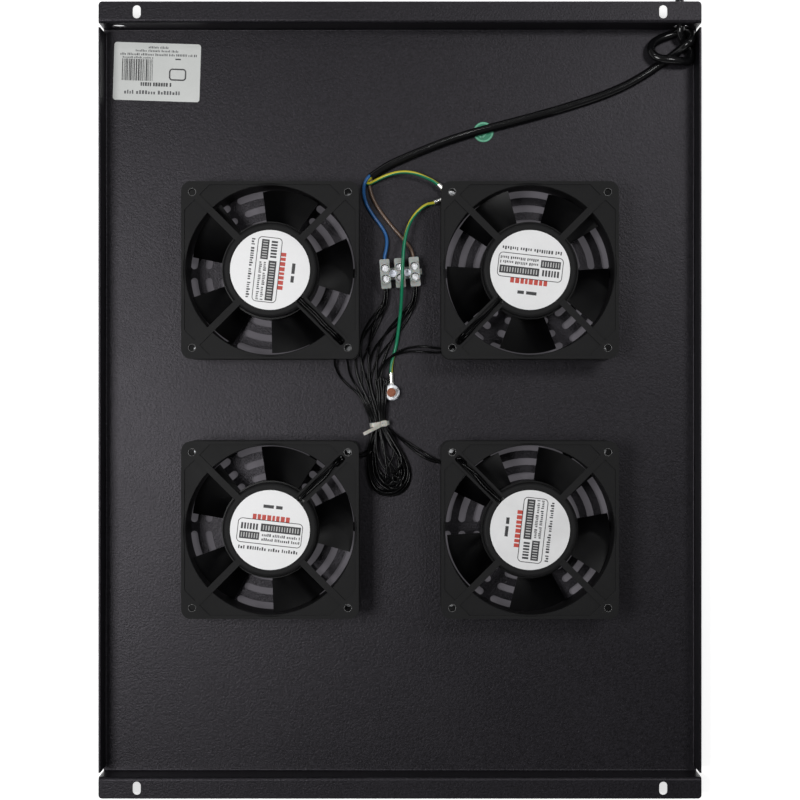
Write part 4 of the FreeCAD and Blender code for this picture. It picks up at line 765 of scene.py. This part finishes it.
def hank_lines(rng):
    """Lines of the folded leads: teardrop loops below the tie and tight folds above it.

    A loop's point at angle u, from 0 to 2 pi, lies (1 - cos u) / 2 of its length down its axis and
    width sin(u) sin(u / 2) ^ 1.25 to the side, and a low sum of sines makes it uneven.
    """
    u = np.linspace(0, 2 * np.pi, 90)
    lines = []
    for number, (layer, length, width) in enumerate(HANK_LOOPS):
        tilt = math.radians(12.2 + rng.uniform(-1.6, 1.6))
        down = (1 - np.cos(u)) / 2 * length
        side = width * np.sin(u) * np.sin(u / 2) ** 1.25
        column = 1.0 + 1.35 * (number % 3)
        side = side + column * np.cos(u / 2) * (1 - smooth_share(np.sin(u / 2), 0.0, 0.8) * 0.3)
        phase = rng.uniform(0, 2 * np.pi, 3)
        wave = 0.5 * np.sin(3 * u + phase[0]) + 0.3 * np.sin(5 * u + phase[1])
        side = side + np.sin(u / 2) * wave
        x = HANK_START[0] + side * math.cos(tilt) + down * math.sin(tilt)
        y = HANK_START[1] + side * math.sin(tilt) - down * math.cos(tilt)
        free = 4.2 + 1.45 * layer + 0.25 * np.sin(2 * u + phase[2])
        bound = 5.6 + 1.3 * layer
        z = bound + (free - bound) * smooth_share(down, 2, 22)
        lines.append(np.column_stack([x, y, z]) * MM)
    lines += [spline_line(np.array(curl) * MM) for curl in HANK_CURLS]
    for level, (x, y) in enumerate(HANK_FOLDS):
        neck, low = -14.4 + 1.2 * level, -13.6 + 0.8 * level
        z, half = 10.3 + 0.5 * (level % 2), 0.84
        left = [(low - 0.6, -17.0, 8.6), (low - 0.6, -12.0, 9.2), (neck - half, -2.0, z)]
        left += [(neck - half, 6.0, z), (x - half, 11.0, z), (x - half, y, z)]
        right = [(x + half, y, z), (x + half, 11.0, z), (neck + half, 6.0, z)]
        right += [(neck + half, -2.0, z), (low + 0.6, -12.0, 9.2), (low + 0.6, -17.0, 8.6)]
        fold = [*left, (x, y + 1.5, z), *right]
        lines.append(spline_line(np.array(fold) * MM))
    return lines


def lead_bundle(name, lines, radius):
    """One piece of separate leads."""
    shape = joined([tube(line, radius, STRAND_SIDES) for line in lines])
    return piece(name, shape, "lead_pvc")


# --- Settings --------------------


class FanTrayWiring(bpy.types.PropertyGroup):
    """Sizes of the cord, wires and leads."""

    cord_diameter: bpy.props.FloatProperty(
        name="Cord diameter", description="Outer diameter of the power cord", default=0.006,
        min=0.004, max=0.009, unit="LENGTH", precision=4,
    )
    wire_diameter: bpy.props.FloatProperty(
        name="Core diameter", description="Outer diameter of the cord's cores and the earth link",
        default=0.0023, min=0.0015, max=0.004, unit="LENGTH", precision=4,
    )
    lead_diameter: bpy.props.FloatProperty(
        name="Lead diameter", description="Outer diameter of one fan lead", default=0.00155,
        min=0.001, max=0.002, unit="LENGTH", precision=4,
    )
    lead_spread: bpy.props.FloatProperty(
        name="Lead spread", description="How far the leads of a bundle fan out halfway along it",
        default=0.0034, min=0.0, max=0.006, unit="LENGTH", precision=4,
    )
    seed: bpy.props.IntProperty(
        name="Seed", description="Start of the random unevenness of the folded leads", default=7,
        min=0,
    )


class FanTrayStage(bpy.types.PropertyGroup):
    """Camera, lamps and floor."""

    camera_height: bpy.props.FloatProperty(
        name="Camera height", description="Height of the camera above the floor", default=1.352,
        min=0.5, max=5, unit="LENGTH",
    )
    camera_lens: bpy.props.FloatProperty(
        name="Camera lens", description="Focal length for a 36 mm sensor", default=87.7, min=20,
        max=300, unit="CAMERA",
    )
    key_power: bpy.props.FloatProperty(
        name="Key lamp", description="Power of the main lamp at the left", default=13, min=0,
        unit="POWER",
    )
    top_power: bpy.props.FloatProperty(
        name="Top lamp", description="Power of the small lamp beyond the tray's back",
        default=1.3, min=0, unit="POWER",
    )
    fill_power: bpy.props.FloatProperty(
        name="Fill lamp", description="Power of the weaker lamp at the upper right", default=7,
        min=0, unit="POWER",
    )
    sky_level: bpy.props.FloatProperty(
        name="Sky level", description="Brightness of the sky", default=0.155, min=0, max=2,
    )
    floor_colour: bpy.props.FloatVectorProperty(
        name="Floor colour", description="Colour of the floor and backdrop",
        default=(0.93, 0.93, 0.93), subtype="COLOR", min=0, max=1,
    )
    floor_lift: bpy.props.FloatProperty(
        name="Floor lift",
        description="Brightness added to the floor and backdrop where they are seen",
        default=0.64, min=0, max=1,
    )
    # Painted shade: the colour and lift of the floor below the tray's plate are set darker, to
    # stand in for the shade in the gap under it.
    painted_shade_colour: bpy.props.FloatVectorProperty(
        name="Colour under the tray",
        description="Colour of the mat on the floor below the tray's plate",
        default=(0.11, 0.103, 0.115), subtype="COLOR", min=0, max=1,
    )
    painted_shade_lift: bpy.props.FloatProperty(
        name="Lift under the tray", description="Brightness added to that mat where it is seen",
        default=0.054, min=0, max=1,
    )


# --- Operators --------------------


LOW_SHARE = 0.7  # power of the low lamp as a share of the top lamp's
SENSOR = 36  # width of the camera's sensor in millimetres
SHADE_INSET = {"X": 0.008, "Y": 0.02}  # from the tray panel's edges to those of the painted shade under it, in metres
# Tint of the painted shade under the tray's plate.
SHADE_TINT = (1, 0.95, 1.05)


class FANTRAY_OT_stage(bpy.types.Operator):
    """Make the floor, sky, lamps and camera."""

    bl_idname = "fantray.stage"
    bl_label = "Stage"

    def execute(self, context):
        settings = context.scene.fan_tray_stage
        self.sky(settings)
        self.floor(settings)
        self.lamp("key_lamp", (-0.6, -0.03, 1.6), settings.key_power, 0.45)
        self.lamp("top_lamp", (-0.15, 1.15, 1.5), settings.top_power, 0.1)
        self.lamp("low_lamp", (0.15, 1.4, 0.75), settings.top_power * LOW_SHARE, 0.08)
        self.lamp("fill_lamp", (0.6, 0.5, 1.6), settings.fill_power, 0.35)
        data = bpy.data.cameras.new("camera")
        data.lens = settings.camera_lens
        data.sensor_width = SENSOR
        camera = placed("camera", data)
        camera.location = (0, 0, settings.camera_height)
        context.scene.camera = camera
        context.scene.view_settings.view_transform = "Standard"
        return {"FINISHED"}

    def seen_rays(self, tree):
        """Value that is 1 for camera, glossy and transmission rays."""
        path = new_node(tree, "LightPath")
        value = path.outputs["Is Camera Ray"]
        for name in ("Is Glossy Ray", "Is Transmission Ray"):
            value = reckoned("MAXIMUM", value, path.outputs[name])
        return value

    def sky(self, settings):
        """Plain grey sky, the same for every ray."""
        world = bpy.data.worlds.new("sky")
        bpy.context.scene.world = world
        world.use_nodes = True
        background = world.node_tree.nodes["Background"]
        fed(background, Color=(1, 1, 1, 1), Strength=settings.sky_level)

    def floor(self, settings):
        """Wide floor and a backdrop curving up round it, lifted to white where they are seen.

        The floor keeps the tray's shadow. Under the tray's plate the same material paints shade: a
        darker, tinted colour with a smaller lift, standing in for the shade in the gap below the
        plate that shows through its vents. The backdrop's inside is at radius far + bend sin(a)
        and height bend (1 - cos(a)) for a up to 90 degrees, and upright from there.
        """
        material, shader = new_material("floor_paper")
        tree = material.node_tree
        parts = new_node(tree, "SeparateXYZ", Vector=new_node(tree, "TexCoord").outputs["Object"])
        # Painted shade: a mask that is 1 on the floor below the tray's plate, where the colour is
        # darkened and tinted and the lift made smaller, standing in for the shade there.
        low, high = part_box("tray_panel")
        within = []
        for axis, (name, inset) in enumerate(SHADE_INSET.items()):
            middle, half = (low[axis] + high[axis]) / 2, (high[axis] - low[axis]) / 2
            within.append(reckoned("COMPARE", parts.outputs[name], middle, half - inset))
        painted_shade = reckoned("MULTIPLY", *within)
        lift = ranged(painted_shade, settings.floor_lift, settings.painted_shade_lift, 0, 1)
        fed(
            shader,
            Roughness=0.9,
            Specular_IOR_Level=0.1,
            Base_Color=shades(painted_shade, settings.floor_colour, settings.painted_shade_colour),
            Emission_Color=shades(painted_shade, (1, 1, 1), SHADE_TINT),
            Emission_Strength=reckoned("MULTIPLY", self.seen_rays(tree), lift),
        )
        far, bend, high, under, thick = 3000, 900, 1700, -1.2, 1.0
        a = np.linspace(0, np.pi / 2, 24)
        inside = np.column_stack([far + bend * np.sin(a), bend * (1 - np.cos(a)) + under + thick])
        edge = far + bend
        outside = [[edge + 10, under], [edge + 10, high], [edge, high]]
        profile = np.vstack([outside, inside[::-1], [[far, under]]])
        sheet = plates([(0, 0, 8000, 8000, 0, under)], thick)
        shape = joined([sheet, lathe(profile, 96)])
        placed("floor", new_mesh("floor", shape, material))

    def lamp(self, name, place, power, size):
        """Soft square lamp that faces the middle of the tray."""
        data = bpy.data.lights.new(name, "AREA")
        data.energy = power
        data.size = size
        made = placed(name, data)
        made.location = place
        made.rotation_euler = (-made.location).to_track_quat("-Z", "Y").to_euler()


class FANTRAY_OT_power_cord(bpy.types.Operator):
    """Make the power cord: one smooth line from its stripped end to the plug, with its knot."""

    bl_idname = "fantray.power_cord"
    bl_label = "Power cord"

    def execute(self, context):
        settings = context.scene.fan_tray_wiring
        points = np.vstack([CORD_MAIN, coil_points(), CORD_TAIL]) * MM
        curve = new_curve("mains_cord", points, 8)
        curve.bevel_depth = settings.cord_diameter / 2
        curve.bevel_resolution = 5
        curve.use_fill_caps = True
        curve.materials.append(finish("cord_pvc"))
        cord = placed("mains_cord", curve)
        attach(cord, TRAY)
        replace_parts(cord, "power_cord", "power_cord_coil")
        line = spline_line(points)
        return {"FINISHED"}


class FANTRAY_OT_core_wires(bpy.types.Operator):
    """Make the cord's blue, brown and earth cores and the earth link."""

    bl_idname = "fantray.core_wires"
    bl_label = "Cores and earth link"

    def execute(self, context):
        radius = context.scene.fan_tray_wiring.wire_diameter / 2
        for name, route in CORE_ROUTES.items():
            line, along = route_line(route, WIRE_STEP)
            coat = CAD_FINISHES[name]
            made = piece(f"{name}_core", tube(line, radius, WIRE_SIDES), coat)
            self.unroll(made.data, line, along, radius, STRIPES.get(name, [(0, 0), (1, 0)]))
            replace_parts(made, name)
        return {"FINISHED"}

    def unroll(self, mesh, line, along, radius, stripe):
        """UV map: once round is 1 across, and the length is in turns of the wire's girth.

        Across is 0 in the middle of the stripe, whose angle from straight up, positive to the
        right along the wire, is interpolated between its (share of length, degrees) points.
        """
        normal, binormal = carried_frames(line)
        up = np.unwrap(np.arctan2(binormal[:, 2], normal[:, 2]))
        share, degrees = np.array(stripe).T
        middle = (up + np.radians(np.interp(along / along[-1], share, degrees))) / (2 * np.pi)
        corner = np.zeros(len(mesh.loops), int)
        mesh.loops.foreach_get("vertex_index", corner)
        ring, side = corner // WIRE_SIDES, corner % WIRE_SIDES
        quads = (len(along) - 1) * WIRE_SIDES * 4
        across = side / WIRE_SIDES
        wrapped = np.arange(len(corner)) < quads
        seam = wrapped & (side == 0) & np.isin(np.arange(len(corner)) % 4, (1, 2))
        across = np.where(seam, 1.0, across)
        length = along[ring] / (2 * np.pi * radius)
        layer = mesh.uv_layers.new(name="UVMap")
        layer.data.foreach_set("uv", np.column_stack([across - middle[ring], length]).ravel())


class FANTRAY_OT_fan_leads(bpy.types.Operator):
    """Make the fans' leads, every one by itself."""

    bl_idname = "fantray.fan_leads"
    bl_label = "Fan leads"

    def execute(self, context):
        settings = context.scene.fan_tray_wiring
        radius = settings.lead_diameter / 2
        for name, route in BUNDLE_ROUTES.items():
            lines = strands(route, 4, radius, settings.lead_spread, 0.75, 0.4)
            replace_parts(lead_bundle(f"{name}_strands", lines, radius), name)
        for number in FANS:
            if number in PARTED_ROUTES:
                sides = zip((-radius / MM, radius / MM), PARTED_ROUTES[number])
                routes = [pair_route(number, rest, aside) for aside, rest in sides]
                lines = [route_line(route, STRAND_STEP)[0] for route in routes]
            else:
                route = pair_route(number, PAIR_ROUTES[number])
                lines = strands(route, 2, radius, settings.lead_spread * 0.3, 1.6, 0.5 * number)
            node = f"fan_{number}_leads"
            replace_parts(lead_bundle(f"{node}_strands", lines, radius), node)
        return {"FINISHED"}


class FANTRAY_OT_folded_leads(bpy.types.Operator):
    """Make the leads' surplus, looped below the tie and folded above it."""

    bl_idname = "fantray.folded_leads"
    bl_label = "Folded leads"

    def execute(self, context):
        settings = context.scene.fan_tray_wiring
        rng = np.random.default_rng(settings.seed)
        radius = settings.lead_diameter / 2
        lines = [evenly(line, HANK_STEP)[0] for line in hank_lines(rng)]
        made = lead_bundle("folded_leads", lines, radius)
        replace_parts(made, "lead_hank")
        return {"FINISHED"}


class FANTRAY_OT_cable_tie(bpy.types.Operator):
    """Make the cable tie: its band round the leads, its head with a slot, and its toothed tail."""

    bl_idname = "fantray.cable_tie"
    bl_label = "Cable tie"

    def execute(self, context):
        low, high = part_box("cable_tie")
        skew = math.radians(-8)
        across = np.array([math.sin(skew), math.cos(skew), 0.0])
        along = np.array([across[1], -across[0], 0.0])
        middle = np.array([-14.1, -16.6, low[2] / MM + 4.2])
        loop = rounded(11.9, 7.0, 2.2, 0)[:, :2]
        line = middle + loop[:, :1] * along + loop[:, 1:] * [0, 0, 1]
        band = strap(line, across, 2.9, 0.9, closed=True)
        top = middle[2] + 3.6
        head_turn, head_place = 8, (-11.0, -16.2)
        levels = [(0, 0.5), (0.4, 0.1), (2.9, 0.0), (3.5, 0.35), (3.7, 0.8)]
        sizes = [(4.9 - 2 * i, 4.3 - 2 * i, 1.3 - i * 0.8, top + z) for z, i in levels]
        sizes += [(2.4, 1.3, 0.3, top + 3.7), (2.2, 1.1, 0.3, top + 2.4)]
        head = loft([rounded(*size, head_turn, head_place) for size in sizes])
        points = 131
        share = np.linspace(0, 1, points)
        start, end = np.array([-12.2, -16.9]), np.array([-24.9, -23.4])
        way = (end - start) / np.linalg.norm(end - start)
        flat = start + (end - start) * share[:, None]
        height = top + 1.7 + 0.7 * np.sin(np.pi * share) - 1.3 * share
        width = 2.3 - 0.3 * smooth_share(share, 0.9, 1.0)
        thick = 0.72 + 0.26 * ((np.arange(points) % 5) / 4) * (share < 0.9)
        tail = strap(np.column_stack([flat, height]), np.array([way[1], -way[0], 0]), width, thick)
        shape = joined([band, head, tail])
        made = piece("tie_strap", shape, "tie_nylon", smooth=False)
        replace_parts(made, "cable_tie")
        return {"FINISHED"}


class FANTRAY_OT_fan_label_print(bpy.types.Operator):
    """Print a red bar, a rounded frame and rows of plain blocks on the fans' labels."""

    bl_idname = "fantray.fan_label_print"
    bl_label = "Fan label print"

    def execute(self, context):
        rng = np.random.default_rng(context.scene.fan_tray_wiring.seed)
        bars = (1.0, 99)  # even height, one group
        dark = [(7.2, 1.2, 26.9, 5.3), (-13.5, -4.9, 13.4, 5.1)]
        dark += blocks(rng, -14.0, 1.2, 11.4, 4.2, 0.3, 0.2, *bars)
        dark += blocks(rng, 7.8, -3.7, 25.6, 1.9) + blocks(rng, 7.8, -6.7, 25.6, 1.9)
        dark += blocks(rng, 0, -13.2, 40, 2.3) + [(-2.6, 15.6, 7.0, 2.2), (4.6, 15.6, 4.4, 2.2)]
        pale = blocks(rng, 7.2, 1.2, 24.0, 3.2, 0.22, 0.36, *bars)
        pale += blocks(rng, -13.5, -4.9, 11.2, 3.2, 0.22, 0.36, *bars)
        red = blocks(rng, 0, 8.0, 25, 3.6, 0.62, 0.22, *bars)
        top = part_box("fan_labels")[1][2] / MM - INK_DEPTH
        for end, rows, lift in (("print", dark, 0), ("pale", pale, 0.012), ("bar", red, 0)):
            name, parts = f"fan_label_{end}", []
            for number in FANS:
                turn, middle = FAN_TURNS[number] + FAN_PRINT_TURN, fan_middle(number)
                parts.append(printed(rows, turn, middle, top + lift))
                if end == "print":
                    centre = turned_about([(0, -1.9)], turn, middle)[0]
                    parts.append(outline(centre, 44.0, 16.6, 3.0, 0.5, turn, top))
            piece(name, joined(parts), f"{name}_ink", smooth=False)
        return {"FINISHED"}


class FANTRAY_OT_tray_label_print(bpy.types.Operator):
    """Print blocks and stripes on the large label, and a ring and a tick on the round one."""

    bl_idname = "fantray.tray_label_print"
    bl_label = "Tray label print"

    def execute(self, context):
        rng = np.random.default_rng(context.scene.fan_tray_wiring.seed + 1)
        middle = box_middle("rating_label")
        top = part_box("rating_label")[1][2] / MM - INK_DEPTH
        fine = blocks(rng, 0.6, 17.0, 13.6, 1.5) + blocks(rng, -0.4, 14.6, 29.4, 1.5)
        fine += blocks(rng, 0.8, 12.0, 52.8, 1.6) + blocks(rng, -13.4, 9.8, 21, 1.3)
        fine += blocks(rng, -3.0, -14.2, 38.4, 2.6)
        bold = blocks(rng, -0.4, -8.6, 21.2, 2.6, 0.5, 0.2, 1.0)
        bold += self.stripes(rng, -13.6, 1.2, 21.2, 15.0) + [(14.4, 9.2, 3.8, 0.9)]
        centre = turned_about([(14.4, -1.4)], LABEL_TURN, middle)[0]
        ring = outline(centre, 12.0, 8.4, 2.4, 1.0, LABEL_TURN, top)
        for end, rows, more in (("print", fine, []), ("bold", bold, [ring])):
            shape = joined([printed(rows, LABEL_TURN, middle, top), *more])
            piece(f"rating_label_{end}", shape, f"rating_label_{end}_ink", smooth=False)
        x, y = box_middle("inspection_sticker")
        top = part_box("inspection_sticker")[1][2] / MM - INK_DEPTH
        ring = lathe([(5.7, 0), (6.7, 0), (6.7, INK), (5.7, INK)], 64, (x, y, top))
        tick = [(x - 1.9, y - 3.4, 3.6, 1.1, -45, top), (x + 0.9, y - 2.1, 6.4, 1.1, 50, top)]
        piece("sticker_print", joined([ring, plates(tick, INK)]), "sticker_ink", smooth=False)
        return {"FINISHED"}

    def stripes(self, rng, x, y, width, height):
        """Upright stripes of uneven width that fill a width."""
        widths = rng.choice([0.35, 0.7, 1.05], 22, p=[0.5, 0.3, 0.2])
        gaps = rng.choice([0.35, 0.7], 22, p=[0.6, 0.4])
        starts = np.concatenate([[0], np.cumsum(widths + gaps)[:-1]])
        scale = width / (starts[-1] + widths[-1])
        left = x - width / 2
        return [(left + (a + w / 2) * scale, y, w * scale, height) for a, w in zip(starts, widths)]


class FANTRAY_OT_hole_rims(bpy.types.Operator):
    """Make the bare bright edges of the fans' corner holes."""

    bl_idname = "fantray.hole_rims"
    bl_label = "Hole rims"

    def execute(self, context):
        profile = [(2.16, -0.35), (2.2, -0.35), (2.56, 0.0)]
        profile += [(2.56, 0.03), (2.46, 0.03), (2.16, -0.25)]
        parts = []
        for number in FANS:
            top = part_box(f"fan_{number}_frame")[1][2] / MM
            x, y = fan_middle(number)
            for across, along in ((-1, -1), (-1, 1), (1, -1), (1, 1)):
                hole = (x + across * HOLE_REACH, y + along * HOLE_REACH, top)
                parts.append(lathe(profile, 40, hole))
        piece("fan_hole_rims", joined(parts), "motor_steel")
        return {"FINISHED"}


class FANTRAY_OT_cad_finishes(bpy.types.Operator):
    """Give every CAD part its finish."""

    bl_idname = "fantray.cad_finishes"
    bl_label = "CAD finishes"

    def execute(self, context):
        for name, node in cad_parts.items():
            chosen = CAD_FINISHES.get(name) or FAN_FINISHES[name.split("_", 2)[2]]
            for slot in node.material_slots:
                slot.material = finish(chosen)
        return {"FINISHED"}


OPERATORS = (
    FANTRAY_OT_stage,
    FANTRAY_OT_power_cord,
    FANTRAY_OT_core_wires,
    FANTRAY_OT_fan_leads,
    FANTRAY_OT_folded_leads,
    FANTRAY_OT_cable_tie,
    FANTRAY_OT_fan_label_print,
    FANTRAY_OT_tray_label_print,
    FANTRAY_OT_hole_rims,
    FANTRAY_OT_cad_finishes,
)


class FANTRAY_PT_panel(bpy.types.Panel):
    """The fan tray's pieces and settings."""

    bl_idname = "FANTRAY_PT_panel"
    bl_label = "Fan Tray"
    bl_space_type = "VIEW_3D"
    bl_region_type = "UI"
    bl_category = "Fan Tray"

    def draw(self, context):
        for operator in OPERATORS:
            self.layout.operator(operator.bl_idname)
        for settings in (context.scene.fan_tray_wiring, context.scene.fan_tray_stage):
            box = self.layout.box()
            for name in settings.__annotations__:
                box.prop(settings, name)


CLASSES = (FanTrayWiring, FanTrayStage, *OPERATORS, FANTRAY_PT_panel)


def register():
    for made in CLASSES:
        bpy.utils.register_class(made)
    bpy.types.Scene.fan_tray_wiring = bpy.props.PointerProperty(type=FanTrayWiring)
    bpy.types.Scene.fan_tray_stage = bpy.props.PointerProperty(type=FanTrayStage)


def unregister():
    del bpy.types.Scene.fan_tray_stage
    del bpy.types.Scene.fan_tray_wiring
    for made in reversed(CLASSES):
        bpy.utils.unregister_class(made)


def main():
    register()
    for operator in OPERATORS:
        group, name = operator.bl_idname.split(".")
        getattr(getattr(bpy.ops, group), name)()


if __name__ == "__main__":
    main()
